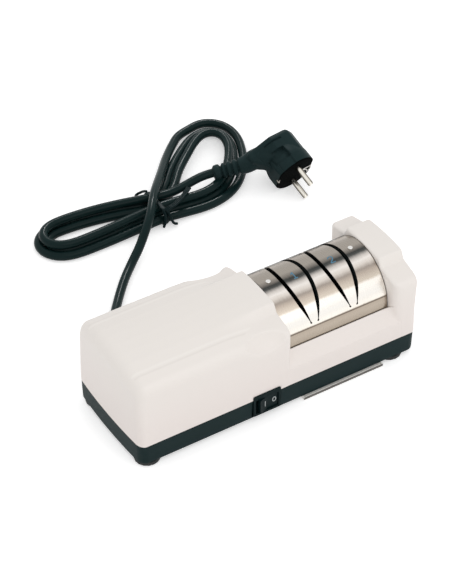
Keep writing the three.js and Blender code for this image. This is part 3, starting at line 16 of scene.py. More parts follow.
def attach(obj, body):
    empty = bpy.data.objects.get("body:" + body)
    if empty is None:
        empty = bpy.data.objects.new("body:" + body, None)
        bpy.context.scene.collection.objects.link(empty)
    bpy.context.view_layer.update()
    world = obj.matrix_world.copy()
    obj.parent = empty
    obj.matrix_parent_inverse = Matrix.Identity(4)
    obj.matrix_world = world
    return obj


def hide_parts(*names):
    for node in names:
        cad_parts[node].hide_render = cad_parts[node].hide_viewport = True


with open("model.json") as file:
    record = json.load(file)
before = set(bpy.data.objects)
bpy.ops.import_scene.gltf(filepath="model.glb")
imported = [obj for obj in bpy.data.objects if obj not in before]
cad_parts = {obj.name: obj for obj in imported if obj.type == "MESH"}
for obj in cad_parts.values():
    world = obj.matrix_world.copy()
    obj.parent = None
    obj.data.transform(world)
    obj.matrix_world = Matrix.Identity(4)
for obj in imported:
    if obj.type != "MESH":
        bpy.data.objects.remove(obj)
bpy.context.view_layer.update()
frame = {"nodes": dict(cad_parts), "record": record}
cad_nodes = frame["nodes"]
MM = 0.001

# Driving sizes, as the solids have them

HALF_LENGTH, HALF_WIDTH, CORNER_RADIUS = 124, 46.5, 7
SEAM_HEIGHT = 22
END_BOW = 2
WALL_DRAFT = 0.022
HOOD_END, BAY_END = 8, 101
COVER_AXIS, COVER_RADIUS, COVER_FOLD, COVER_FOOT_HALF = 48.6, 36.7, 59.5, 36.5
SLOT_TIP = 62.6
SHAFT_HEIGHT = 41
CORD_EXIT = (-64, 0, 13)
CORD_RADIUS, SHEATH_RADIUS = 3.2, 3.75
SWITCH_PIVOT = (-13.8, -40.9)
PLUG_PLACE = np.array((152.1, 168.4, 18.6))
PIN_OFFSET = 9.5


# Camera, light and floor

PHOTO_HEIGHT, FOCAL_PIXELS, FILM = 584, 2400, 36
CAMERA_TURN, CAMERA_RISE = math.radians(32), math.radians(41)
CAMERA_PLACE = (-725.5, -1128.1, 1248.7)
ROOM_LIGHT, SEEN_LIGHT = 0.86, 0.14
# Name, side and place in metres, watts
LAMPS = (
    ("soft_lamp_front", 1.2, (0.1, -1.2, 1.1), 4.4),
    ("gloss_lamp_behind", 0.22, (0.68, 1.1, 1.06), 9.0),
)
LAMPS_AIM = (0, 0.05, 0)
# Metres, and the strength of its own light
FLOOR_REACH, FLOOR_DROP, FLOOR_GLOW = 9.0, 0.0001, 0.42


def place_camera():
    """Camera at the photograph's angle: from the front left, above the table."""
    right = Vector((math.cos(CAMERA_TURN), -math.sin(CAMERA_TURN), 0))
    level = Vector((-math.sin(CAMERA_TURN), -math.cos(CAMERA_TURN), 0))
    back = level * math.cos(CAMERA_RISE) + Vector((0, 0, math.sin(CAMERA_RISE)))
    data = bpy.data.cameras.new("camera")
    data.sensor_width = FILM
    data.lens = FOCAL_PIXELS / PHOTO_HEIGHT * FILM
    data.clip_start, data.clip_end = 0.01, 50
    camera = put("camera", data)
    turned = Matrix((right, back.cross(right), back)).transposed().to_4x4()
    camera.matrix_world = Matrix.Translation(Vector(CAMERA_PLACE) * MM) @ turned
    bpy.context.scene.camera = camera


def math_node(operation):
    """An operator that adds a Math node."""
    return lambda wire, *others: wire.paint.maths(operation, wire, *others)


class Wire:
    """One output of a material's nodes. Arithmetic on it adds Math nodes."""

    __add__ = __radd__ = math_node("ADD")
    __sub__ = math_node("SUBTRACT")
    __mul__ = __rmul__ = math_node("MULTIPLY")
    __truediv__ = math_node("DIVIDE")
    __pow__ = math_node("POWER")
    __gt__ = math_node("GREATER_THAN")
    __lt__ = math_node("LESS_THAN")
    __abs__ = math_node("ABSOLUTE")

    def __init__(self, paint, socket):
        self.paint, self.socket = paint, socket

    def __rsub__(self, other):
        return self.paint.maths("SUBTRACT", other, self)


class Paint:
    """The shader nodes of a material, or of the world."""

    def __init__(self, owner):
        owner.use_nodes = True
        self.nodes, self.links = owner.node_tree.nodes, owner.node_tree.links

    def add(self, kind, values=None, output=0, **settings):
        """A shader node of that kind: its settings first, then what its sockets get."""
        node = self.nodes.new("ShaderNode" + kind)
        for key, value in settings.items():
            setattr(node, key, value)
        for key, value in (values or {}).items():
            self.join(node.inputs[key], value)
        return Wire(self, node.outputs[output])

    def join(self, socket, value):
        if isinstance(value, Wire):
            self.links.new(value.socket, socket)
        elif hasattr(value, "__len__") and len(value) == 3 and socket.type == "RGBA":
            socket.default_value = (*value, 1)
        else:
            socket.default_value = value

    def maths(self, operation, *parts):
        return self.add("Math", dict(enumerate(parts)), operation=operation)

    def largest(self, first, *others):
        for other in others:
            first = self.maths("MAXIMUM", first, other)
        return first

    def rays(self, *kinds):
        """1 for a ray of one of these kinds, 0 for others."""
        marks = [self.add("LightPath", output=f"Is {kind} Ray") for kind in kinds]
        return self.largest(*marks)

    def place(self, stretch=(1, 1, 1)):
        """Object coordinates in millimetres, stretched."""
        place = self.add("TexCoord", output="Object")
        scale = tuple(s / MM for s in stretch)
        return self.add("Mapping", {"Vector": place, "Scale": scale})

    def split(self, vector):
        return [self.add("SeparateXYZ", {0: vector}, k) for k in range(3)]

    def noise(self, vector, scale, detail=2, roughness=0.5):
        values = {"Vector": vector, "Scale": scale, "Detail": detail, "Roughness": roughness}
        return self.add("TexNoise", values)

    def mix(self, share, first, second):
        """Colour between two colours."""
        return self.add("Mix", {0: share, 6: first, 7: second}, 2, data_type="RGBA")

    def ramp(self, share, colours):
        """Colour by a share, from a list of (share, colour)."""
        wire = self.add("ValToRGB", {0: share})
        stops = self.nodes[-1].color_ramp.elements
        while len(stops) < len(colours):
            stops.new(1)
        for stop, (place, colour) in zip(stops, colours):
            stop.position, stop.color = place, (*colour, 1)
        return wire

    def ridge(self, distance, reach, top=1):
        """Top on a line, less away from it by distance over reach, kept from 0 to 1."""
        value = self.maths("MINIMUM", top - abs(distance) / reach, 1)
        return self.largest(value, 0)

    def bump(self, height, depth):
        """Normal of a relief whose height runs from 0 to 1 over depth millimetres."""
        return self.add("Bump", {"Height": height, "Distance": depth * MM})


def finish(name, make, constants):
    """A material: make(paint) gives its colour, roughness and normal, where it has one,
    and the rest is set on the shader itself."""
    material = bpy.data.materials.new(name)
    paint = Paint(material)
    shader = paint.nodes["Principled BSDF"]
    varied = zip(("Base Color", "Roughness", "Normal"), make(paint))
    for key, value in {**constants, **dict(varied)}.items():
        paint.join(shader.inputs[key], value)
    return material


def put(name, data):
    """A new object in the scene."""
    item = bpy.data.objects.new(name, data)
    bpy.context.scene.collection.objects.link(item)
    return item


def light_studio():
    """A white room: the world lights all round, a large soft lamp stands before the
    object, and a small one behind it lights only the pieces in the collection returned."""
    glossy = bpy.data.collections.new("glossy_black_pieces")
    world = bpy.data.worlds.new("studio")
    bpy.context.scene.world = world
    paint = Paint(world)
    sky = paint.nodes["Background"].inputs
    seen = paint.rays("Camera", "Glossy", "Transmission")
    paint.join(sky["Color"], (1, 1, 1))
    paint.join(sky["Strength"], seen * SEEN_LIGHT + ROOM_LIGHT)
    for name, side, place, power in LAMPS:
        lamp = bpy.data.lights.new(name, "AREA")
        lamp.size, lamp.energy = side, power
        item = put(name, lamp)
        item.location = place
        if "gloss" in name:
            item.light_linking.receiver_collection = glossy
        aim = Vector(LAMPS_AIM) - item.location
        item.rotation_euler = aim.to_track_quat("-Z", "Y").to_euler()
    bpy.context.scene.view_settings.view_transform = "Standard"
    return glossy


def lay_floor():
    """Pale floor, white to the camera where nothing shades it."""
    material = bpy.data.materials.new("floor")
    paint = Paint(material)
    paint.nodes.remove(paint.nodes["Principled BSDF"])
    glow = paint.rays("Camera", "Glossy") * FLOOR_GLOW
    plain = paint.add("BsdfDiffuse", {"Color": (0.9, 0.9, 0.9)})
    light = paint.add("Emission", {"Color": (1, 1, 1), "Strength": glow})
    whole = paint.add("AddShader", {0: plain, 1: light})
    paint.join(paint.nodes["Material Output"].inputs["Surface"], whole)
    mesh = bpy.data.meshes.new("floor")
    corners = [(-1, -1), (1, -1), (1, 1), (-1, 1)]
    points = [(x * FLOOR_REACH, y * FLOOR_REACH, -FLOOR_DROP) for x, y in corners]
    mesh.from_pydata(points, [], [(0, 1, 2, 3)])
    mesh.materials.append(material)
    floor = put("floor", mesh)


# Meshes from grids


def grid_faces(rows, columns, wrap_rows=False, wrap_columns=False, keep=None):
    """Corner numbers of a grid's cells, those that keep names only."""
    r = np.arange(rows if wrap_rows else rows - 1)[:, None]
    c = np.arange(columns if wrap_columns else columns - 1)[None, :]
    here, below = r * columns, (r + 1) % rows * columns
    beside = (c + 1) % columns
    cells = np.stack([here + c, here + beside, below + beside, below + c], -1)
    cells = cells if keep is None else cells[keep]
    return cells.reshape(-1, 4)


def mesh_piece(name, parts, material, body="sharpener", close=1e-3, wall=0, sharp=32):
    """A piece from parts, each (points in mm, corner numbers). Points closer than close
    are merged; wall is the thickness that an open skin grows inwards."""
    points, faces, count = [], [], 0
    for part_points, part_faces in parts:
        flat = np.asarray(part_points, float).reshape(-1, 3)
        points.append(flat * MM)
        faces += (np.asarray(part_faces) + count).tolist()
        count += len(flat)
    mesh = bpy.data.meshes.new(name)
    mesh.from_pydata(np.vstack(points).tolist(), [], faces)
    item = put(name, mesh)
    weld(item, close, outwards=not wall)
    if wall:
        thicken = item.modifiers.new("wall", "SOLIDIFY")
        thicken.thickness = wall * MM
        thicken.offset = -1
        settle(item)
    mesh = item.data
    mesh.polygons.foreach_set("use_smooth", np.ones(len(mesh.polygons), bool))
    mesh.set_sharp_from_angle(angle=math.radians(sharp))
    mesh.materials.clear()
    mesh.materials.append(material)
    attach(item, body)
    return item


def weld(item, close, outwards):
    """Merges doubled points, drops what has no area and turns a closed shell outwards."""
    work = bmesh.new()
    work.from_mesh(item.data)
    bmesh.ops.remove_doubles(work, verts=work.verts, dist=close * MM)
    bmesh.ops.dissolve_degenerate(work, edges=work.edges, dist=close * MM / 10)
    loose = [v for v in work.verts if not v.link_faces]
    bmesh.ops.delete(work, geom=loose, context="VERTS")
    if outwards:
        bmesh.ops.recalc_face_normals(work, faces=work.faces)
    work.to_mesh(item.data)
    work.free()


def settle(item):
    """Makes the modifiers' result the item's own mesh."""
    graph = bpy.context.evaluated_depsgraph_get()
    made = bpy.data.meshes.new_from_object(item.evaluated_get(graph))
    item.modifiers.clear()
    item.data = made


def smooth_line(points, per_span=24):
    """Centripetal Catmull-Rom line: every span is a cubic whose end slopes come from the
    neighbouring points, weighted by the square roots of the spans."""
    p = np.asarray(points, float)
    p = np.vstack([2 * p[0] - p[1], p, 2 * p[-1] - p[-2]])
    gaps = np.linalg.norm(np.diff(p, axis=0), axis=1)[:, None] ** 0.5
    d0, d1, d2 = gaps[:-2], gaps[1:-1], gaps[2:]
    a, b, c, e = p[:-3], p[1:-2], p[2:-1], p[3:]
    first = ((b - a) / d0 - (c - a) / (d0 + d1) + (c - b) / d1) * d1
    last = ((c - b) / d1 - (e - b) / (d1 + d2) + (e - c) / d2) * d1
    t = np.linspace(0, 1, per_span, endpoint=False)[None, :, None]
    b, c, first, last = (v[:, None, :] for v in (b, c, first, last))
    from_start = (2 * t**3 - 3 * t**2 + 1) * b + (t**3 - 2 * t**2 + t) * first
    line = from_start + (3 * t**2 - 2 * t**3) * c + (t**3 - t**2) * last
    return np.vstack([line.reshape(-1, p.shape[1]), p[-2]])


def travelled(line):
    """Distance along a line at each of its points."""
    steps = np.linalg.norm(np.diff(line, axis=0), axis=1)
    return np.concatenate([[0], np.cumsum(steps)])


def spaced(line, step=1, count=None):
    """Points along a line: that many, or about a step apart."""
    along = travelled(line)
    places = np.linspace(0, along[-1], count or int(round(along[-1] / step)) + 1)
    return np.stack([np.interp(places, along, column) for column in line.T], 1)


def reach_of(outline, angle, period=None):
    """Distance from the middle to an outline's points (u, v), at each angle."""
    turn = np.arctan2(outline[:, 1], outline[:, 0])
    order = np.argsort(turn)
    return np.interp(angle, turn[order], np.hypot(*outline[order].T), period=period)


def softened(line, reach):
    """Each point becomes the mean of those up to reach places away; the ends stay."""
    count = len(line)
    total = np.vstack([np.zeros(3), np.cumsum(line, axis=0)])
    place = np.arange(count)
    span = np.minimum(np.minimum(place, count - 1 - place), reach)
    return (total[place + span + 1] - total[place - span]) / (2 * span + 1)[:, None]


def as_points(*coordinates):
    """Points from their coordinates, each an array or one number for all."""
    return np.stack(np.broadcast_arrays(*coordinates), -1)


def unit(vectors):
    """The same directions with a length of 1."""
    return vectors / np.linalg.norm(vectors, axis=-1, keepdims=True)


def capped(rings):
    """A closed part from rings of points: a fan to its middle closes each end."""
    ends = np.repeat(rings[[0, -1]].mean(1, keepdims=True), rings.shape[1], 1)
    rings = np.concatenate([ends[:1], rings, ends[1:]])
    return rings, grid_faces(len(rings), rings.shape[1], wrap_columns=True)


def tube(line, radius, sides=20, upright=(0, 0, 1)):
    """Round tube: at each point of the line a circle square to it, of that point's
    radius, and a fan at each end."""
    line = np.asarray(line, float)
    radius = np.broadcast_to(np.asarray(radius, float), len(line))[:, None, None]
    ahead = unit(np.gradient(line, axis=0))
    side = unit(np.cross(ahead, upright))
    other = np.cross(side, ahead)
    angle = full_turn(sides)[None, :, None]
    circle = side[:, None] * np.cos(angle) + other[:, None] * np.sin(angle)
    return capped(line[:, None] + radius * circle)


def turned(profile, centre, axis, sides=40):
    """Surface of revolution: profile (radius, place) turned round an axis."""
    radius, place = np.array(profile, float).T
    radius, place, angle = radius[:, None], place[:, None], full_turn(sides)
    a, b = radius * np.cos(angle), radius * np.sin(angle)
    order = {"y": (a, place, b), "z": (a, b, place)}[axis]
    grid = as_points(*order) + centre
    return grid, grid_faces(len(radius), sides, wrap_columns=True)


def ribbon(flat, width, lifts, in_space):
    """Rings of four corners along flat points (u, v): half a width to either side, at
    two lifts. in_space(u, v, lift) gives a corner's place."""
    ahead = unit(np.gradient(flat, axis=0))
    beside = as_points(-ahead[:, 1], ahead[:, 0]) * width / 2
    first, second = lifts
    corners = ((-1, first), (-1, second), (1, second), (1, first))
    rings = [in_space(*(flat + side * beside).T, lift) for side, lift in corners]
    return np.stack(rings, 1)


def full_turn(count):
    return np.linspace(0, 2 * np.pi, count, endpoint=False)


def quarter(count):
    """Shares of the way round a quarter turn: those that start slowly, and those that
    start fast."""
    turn = np.linspace(0, np.pi / 2, count)
    return 1 - np.cos(turn), np.sin(turn)


def domed(radius, height, rise, count):
    """Profile (radius, place) of a dome, from its rim up to the axis."""
    turn = np.linspace(0, np.pi / 2, count)[1:]
    return [(radius * math.cos(a), height + rise * math.sin(a)) for a in turn]


def smoothstep(share, low=0.0, high=1.0):
    t = np.clip((np.asarray(share, float) - low) / (high - low), 0, 1)
    return t * t * (3 - 2 * t)


def window(value, low, high, soft=0.5):
    """1 between low and high, 0 outside, with a soft change on either side."""
    opened = smoothstep(value, low - soft / 2, low + soft / 2)
    return opened * smoothstep(value, high + soft / 2, high - soft / 2)


def rounded(corners, steps=8):
    """Open or closed outline through corners (u, v, radius), each rounded by an arc.
    A corner whose radius is 0 or isn't given stays sharp."""
    corners = [(*c, 0)[:3] for c in corners]
    points = []
    for i, (u, v, radius) in enumerate(corners):
        here = np.array([u, v], float)
        if radius == 0:
            points.append(here[None])
            continue
        back = np.array(corners[i - 1][:2], float) - here
        ahead = np.array(corners[(i + 1) % len(corners)][:2], float) - here
        limit = 0.48 * min(np.hypot(*back), np.hypot(*ahead))
        back, ahead = unit(back), unit(ahead)
        half = math.acos(np.clip(back @ ahead, -1, 1)) / 2
        reach = min(radius / math.tan(half), limit)
        t = np.linspace(0, 1, steps + 1)[:, None]
        start, end = here + back * reach, here + ahead * reach
        pull = 2 * math.sin(half) * t * (1 - t)
        top = (1 - t) ** 2 * start + pull * here + t**2 * end
        points.append(top / ((1 - t) ** 2 + pull + t**2))
    return np.vstack(points)


# Cord: leaves the back, lies on the table, is wound into a tied hank and ends in a plug

LEAD_ROUTE = [
    (-64, 73.2, 13), (-64, 79.6, 13), (-62.5, 90, 11), (-58, 104, 6.5), (-47.9, 118, 3.9),
    (-28.1, 140.7, 3.7), (-13, 154.8, 4.4), (0.9, 164.9, 9.4), (9, 171.3, 14.6),
    (19.4, 180.8, 19.3), (28.6, 192.3, 21), (39.1, 206.2, 20.3), (50, 219.5, 17),
    (62.2, 234.3, 12.6), (76.3, 251.9, 7.4), (90.7, 267.4, 4.1), (101, 276.4, 3.6),
]
HANK_STATIONS = [
    (69, 247, 5.5, -5.6), (91, 268, 4, -8.5), (113, 283, -0.5, -11.5),
    (133, 286.5, -4.6, -11.5), (147, 276, -8, -8.8), (150.5, 257, -9.2, -4),
    (144, 235, -8.2, 0.5), (132, 213, -7.4, 4.4), (115, 195, -5, 7), (97, 186, -2, 7.6),
    (78, 183, 0, 7.6), (59, 184, 0, 7.8), (38, 185.8, 0, 7.3), (13, 185.5, 0, 7.8),
    (-15, 185, 0, 7.5), (-45, 185.4, 0, 7.4), (-58, 189.2, 3.7, 6.5),
    (-67.6, 198.4, 6.5, 3.7), (-71, 211, 7.3, 0), (-67.4, 223, 6.5, -3.7),
    (-58, 231.8, 3.7, -6.5), (-44, 235, 0, -7.5), (-14, 233.5, 0, -7.8),
    (14, 227.5, 0, -8.2), (38, 219.3, -0.5, -7.9), (54, 230, 4, -6.8),
]
HANK_STEPS = range(2, 77)
LAYER_RISE, LAYER_STEPS = 6.95, (49, 56)
TIE_PLACE, TIE_LIFT, TIE_REACH = 37.5, 1.9, 26
TAIL_ROUTE = [(55, 207.2, 12.4), (65.2, 207.4, 13.4), (79.8, 208.6, 15), (90, 208.6, 16)]
RELIEF_END = np.array((103.5, 203.5, 18.4))
NECK_ROUTE = np.array([(136, 190, 29.2), (128.5, 193.6, 26.6), (120.8, 195.4, 23.4)])


def hank_line():
    """The hank spirals in through its lower layer, climbs, and spirals out on top: the
    station's place plus the loop's number times its inward step. The tie lifts it."""
    stations, step = np.array(HANK_STATIONS), np.array(HANK_STEPS)
    x, y, in_x, in_y = stations[step % len(stations)].T
    turns = step / len(stations)
    loops = np.where(turns < 2, turns, 4 - turns)
    x, y = x + loops * in_x, y + loops * in_y
    z = CORD_RADIUS + 0.1 + LAYER_RISE * smoothstep(step, *LAYER_STEPS)
    z = z + TIE_LIFT * np.exp(-(((x - TIE_PLACE) / TIE_REACH) ** 2))
    line = as_points(x, y, z)
    first, last = (2 * CORD_RADIUS * unit(v) for v in (line[0] - line[1], line[-1] - line[-2]))
    return np.vstack([line[0] + first, line, line[-1] + last])


def cord_line():
    """The whole cord's centre line, from the gland's tip into the plug's strain relief."""
    away = unit(RELIEF_END - NECK_ROUTE[-1])
    ends = [RELIEF_END + away * distance for distance in (2 * CORD_RADIUS + 0.35, 0, -5)]
    return np.vstack([LEAD_ROUTE, hank_line(), TAIL_ROUTE, ends])


def make_cord(material):
    """A sheath round the softened line, which starts inside the gland and is raised by
    as much as the sheath is thicker than the solids' cord."""
    line = softened(spaced(smooth_line(cord_line()), 1.8), 4)
    line = np.vstack([line[0] - (0, 6, 0), line]) + (0, 0, SHEATH_RADIUS - CORD_RADIUS)
    item = mesh_piece("mains_cord", [tube(line, SHEATH_RADIUS, 20)], material)
    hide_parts("cord_lead", "cord_hank", "cord_tail")
    return item, line


# Materials

# A noise: its scale for a millimetre, its detail and, where it isn't 0.5, its roughness
SLOW_DRIFT = (0.045, 2)
# Where the hood's creases get a painted highlight line and a painted shade line
HOOD_LINES_ABOVE, HOOD_LINES_LEFT_OF = 79, -14
CREASE_HIGHLIGHT, CREASE_SHADE = 30.9, 33.7
# Where the cover gets painted shade lines: its right edge, its lower edge and its fold
COVER_RIM_X, COVER_RIM_Z, FOLD_LINE = 100.25, 48.95, COVER_FOLD - 0.3
# In front of this the tray's face is painted dark as shade; behind it a painted highlight makes it
# pale
TRAY_FACE = -47.6
# The plug's face direction, and the offset beyond which it is painted darker as shade
PLUG_FACE, PLUG_OPEN_FROM = np.array((0.0994, -0.924, -0.368)), -0.9
# View direction for the pins' painted reflection
PIN_VIEW = np.array((-0.4, -0.64, 0.656))
PIN_RADIUS = 2.4

# Painted reflections: degrees from the top of the cover, towards the front, and the colour there
ARCH_REFLECTION_TONES = (
    (-72, (0.54, 0.44, 0.36)),
    (-60, (0.84, 0.79, 0.73)),
    (-51, (0.62, 0.55, 0.48)),
    (-49, (0.05, 0.055, 0.05)),
    (-37, (0.05, 0.055, 0.05)),
    (-34, (0.40, 0.35, 0.30)),
    (-20, (0.34, 0.305, 0.265)),
    (-3, (0.36, 0.325, 0.285)),
    (3, (0.20, 0.18, 0.16)),
    (7, (0.045, 0.048, 0.046)),
    (10.5, (0.075, 0.078, 0.075)),
    (16, (0.62, 0.575, 0.535)),
    (21, (0.88, 0.83, 0.78)),
    (26.5, (0.72, 0.66, 0.60)),
    (32, (0.36, 0.31, 0.27)),
    (36, (0.46, 0.39, 0.33)),
    (44.5, (0.58, 0.51, 0.43)),
    (47.5, (0.87, 0.82, 0.76)),
    (62, (0.93, 0.90, 0.85)),
    (71, (0.84, 0.79, 0.72)),
    (73.5, (0.41, 0.348, 0.285)),
    (80, (0.43, 0.37, 0.305)),
    (88, (0.37, 0.315, 0.255)),
)
# Painted reflection on the pins: share of the pin's radius, and the colour there
PIN_REFLECTION_TONES = [
    (0.0, (0.92, 0.89, 0.82)),
    (0.42, (0.80, 0.76, 0.68)),
    (0.62, (0.30, 0.27, 0.22)),
    (0.8, (0.055, 0.05, 0.042)),
    (1.0, (0.16, 0.14, 0.12)),
]


def mottled(base, lighter, tint, rough, span, gloss, depth=0, relief=None):
    """Three noises: tint drifts between the two colours, gloss adds up to span to the
    roughness, and relief, or else gloss, dents the surface by depth millimetres."""

    def make(paint):
        place = paint.place()
        yield paint.mix(paint.noise(place, *tint), base, lighter)
        yield rough + span * paint.noise(place, *gloss)
        if depth:
            yield paint.bump(paint.noise(place, *(relief or gloss)), depth)

    return make


def metal(base, lighter, stretch, scale, rough):
    """Metal with a drawn or ground grain that runs along the stretched axis."""

    def make(paint):
        lines = paint.noise(paint.place(stretch), scale, 4, 0.65)
        cloud = paint.noise(paint.place(), 0.15, 2)
        return (
            paint.mix(cloud * 0.6 + lines * 0.4, base, lighter),
            rough + 0.16 * lines,
            paint.bump(lines, 0.004),
        )

    return make


def lined(base, lighter, phase, rough, span, cloud, depth):
    """Fine even lines, the sine of a phase that is worked out from the place."""

    def make(paint):
        place = paint.place()
        line = paint.maths("SINE", phase(*paint.split(place))) * 0.5 + 0.5
        return (
            paint.mix(line, base, lighter),
            rough + span * paint.noise(place, *cloud),
            paint.bump(line, depth),
        )

    return make


def wire_phase(x, y, z):
    """Rings round the shaft line, of wire wound in a coil."""
    return (y * y + (z - SHAFT_HEIGHT) * (z - SHAFT_HEIGHT)) ** 0.5 * 9 + x * 2


def sheet_phase(x, y, z):
    """Sheets stacked along the shaft."""
    return x * 12


def white_moulding(paint):
    """Warm white ABS: a faint grain, slight orange peel, and painted shade that makes it a
    little darker and pinker low down. The hood's two creases get a painted highlight line
    above and a painted shade line below."""
    place = paint.place()
    along, across, height = paint.split(place)
    hood = (height > HOOD_LINES_ABOVE) * (along < HOOD_LINES_LEFT_OF)
    # painted highlight and painted shade lines along the creases
    light = hood * paint.ridge(abs(across) - CREASE_HIGHLIGHT, 1.7)
    crease_shade_line = hood * paint.ridge(abs(across) - CREASE_SHADE, 1.1)
    low = paint.maths("SMOOTH_MIN", (86 - height) / 64, 1, 0.2)
    fine = paint.noise(place, 1.6)
    # painted shade: darker and pinker low down
    base = paint.mix(low * 0.8, (0.838, 0.794, 0.752), (0.815, 0.728, 0.698))
    base = paint.mix(light * 0.5, base, (0.92, 0.885, 0.84))
    base = paint.mix(crease_shade_line * 0.4, base, (0.70, 0.66, 0.62))
    return (
        paint.mix(paint.noise(place, 0.02) * 0.35, base, (0.80, 0.765, 0.72)),
        0.36 + 0.1 * fine,
        paint.bump(paint.noise(place, 0.28) * 0.7 + fine * 0.3, 0.02),
    )


def arch_steel(paint):
    """Bright sheet steel, bent to an arch: fine lines run round the arch, painted reflections
    go in bands with the angle from the top, and painted shade lines run along its fold and
    its right and lower edges."""
    x, y, z = paint.split(paint.place())
    angle = paint.maths("ARCTAN2", y * -1, z - COVER_AXIS)
    fine = paint.noise(paint.place((3.2, 0.05, 0.05)), 1.0, 4, 0.7)
    streaks = paint.noise(paint.place((0.75, 0.035, 0.035)), 1.0, 3, 0.6)
    cloud = paint.noise(paint.place((0.05, 0.09, 0.09)), 1.0)
    share = angle * (1 / math.pi) + 0.5
    share = share + (streaks - 0.5) * 0.012 + (cloud - 0.5) * 0.02
    # painted reflection bands, by the angle from the top
    painted_reflection = paint.ramp(share, [(degrees / 180 + 0.5, c) for degrees, c in ARCH_REFLECTION_TONES])
    # painted shade lines along the fold and the right and lower edges
    fold = paint.ridge(z - FOLD_LINE, 0.75, 1.35)
    line = paint.largest(fold * 0.85, paint.largest(x > COVER_RIM_X, z < COVER_RIM_Z))
    brushed = paint.mix((fine - 0.4) * 0.35, painted_reflection, (0.30, 0.27, 0.24))
    return (
        paint.mix(line, brushed, (0.10, 0.075, 0.055)),
        0.2 + 0.14 * fine,
        paint.bump(fine, 0.004),
    )


def plug_moulding(paint):
    """Dark plastic of the plug: the side with the pins is duller, and painted darker as shade."""
    place = paint.place()
    out = sum(share * way for share, way in zip(paint.split(place), PLUG_FACE.tolist()))
    face = out - float(PLUG_FACE @ PLUG_PLACE) > PLUG_OPEN_FROM
    fine = paint.noise(place, 1.5, 3, 0.6)
    drift = paint.noise(place, *SLOW_DRIFT)
    open_side = paint.mix(drift, (0.009, 0.020, 0.021), (0.015, 0.028, 0.029))
    return (
        # painted shade on the face with the pins
        paint.mix(face, open_side, (0.001, 0.0015, 0.0015)),
        face * 0.5 + 0.36 + 0.1 * fine,
        paint.bump(fine, 0.04),
    )


def cord_sheath(paint):
    """Smooth dark sheath: faint ripples from the cores inside, a few dull patches."""
    place = paint.place()
    fine = paint.noise(place, 2.2)
    dull = paint.noise(place, 0.06)
    return (
        paint.mix(dull, (0.003, 0.012, 0.012), (0.007, 0.019, 0.019)),
        0.17 + 0.12 * dull + 0.05 * fine,
        paint.bump(paint.noise(place, 0.35) * 0.7 + fine * 0.3, 0.04),
    )


def tray_sheet(paint):
    """Sheet steel of the tray: a painted highlight makes it pale inside and on its rim, and its
    front face is painted dark as shade.
    """
    y = paint.split(paint.place())[1]
    lines = paint.noise(paint.place((0.05, 2, 2)), 1, 3, 0.6)
    shade = paint.mix(lines, (0.07, 0.064, 0.056), (0.14, 0.128, 0.115))
    return (
        # painted highlight inside and on the rim, painted shade on the front face
        paint.mix(y < TRAY_FACE, (1.0, 0.98, 0.93), shade),
        0.42 + 0.16 * lines,
        paint.bump(lines, 0.01),
    )


def nickel_pin(paint):
    """Nickel pin with a painted reflection: bright along its middle, darker towards its sides,
    as a rod that mirrors a dark plug on both sides."""
    _, along, out = plug_axes()
    side = unit(np.cross(out, PIN_VIEW))
    place = paint.place()
    both = {0: place, 1: tuple(side)}
    aside = paint.add("VectorMath", both, "Value", operation="DOT_PRODUCT")
    middle, offset = float(PLUG_PLACE @ side), abs(float(PIN_OFFSET * along @ side))
    off = abs(abs(aside - middle) - offset)
    lines = paint.noise(place, 1.2, 3)
    # painted reflection by distance from each pin's middle line
    painted_reflection = paint.ramp(off / PIN_RADIUS, PIN_REFLECTION_TONES)
    return (
        paint.mix(lines * 0.25, painted_reflection, (0.4, 0.38, 0.34)),
        0.16 + 0.1 * lines,
    )


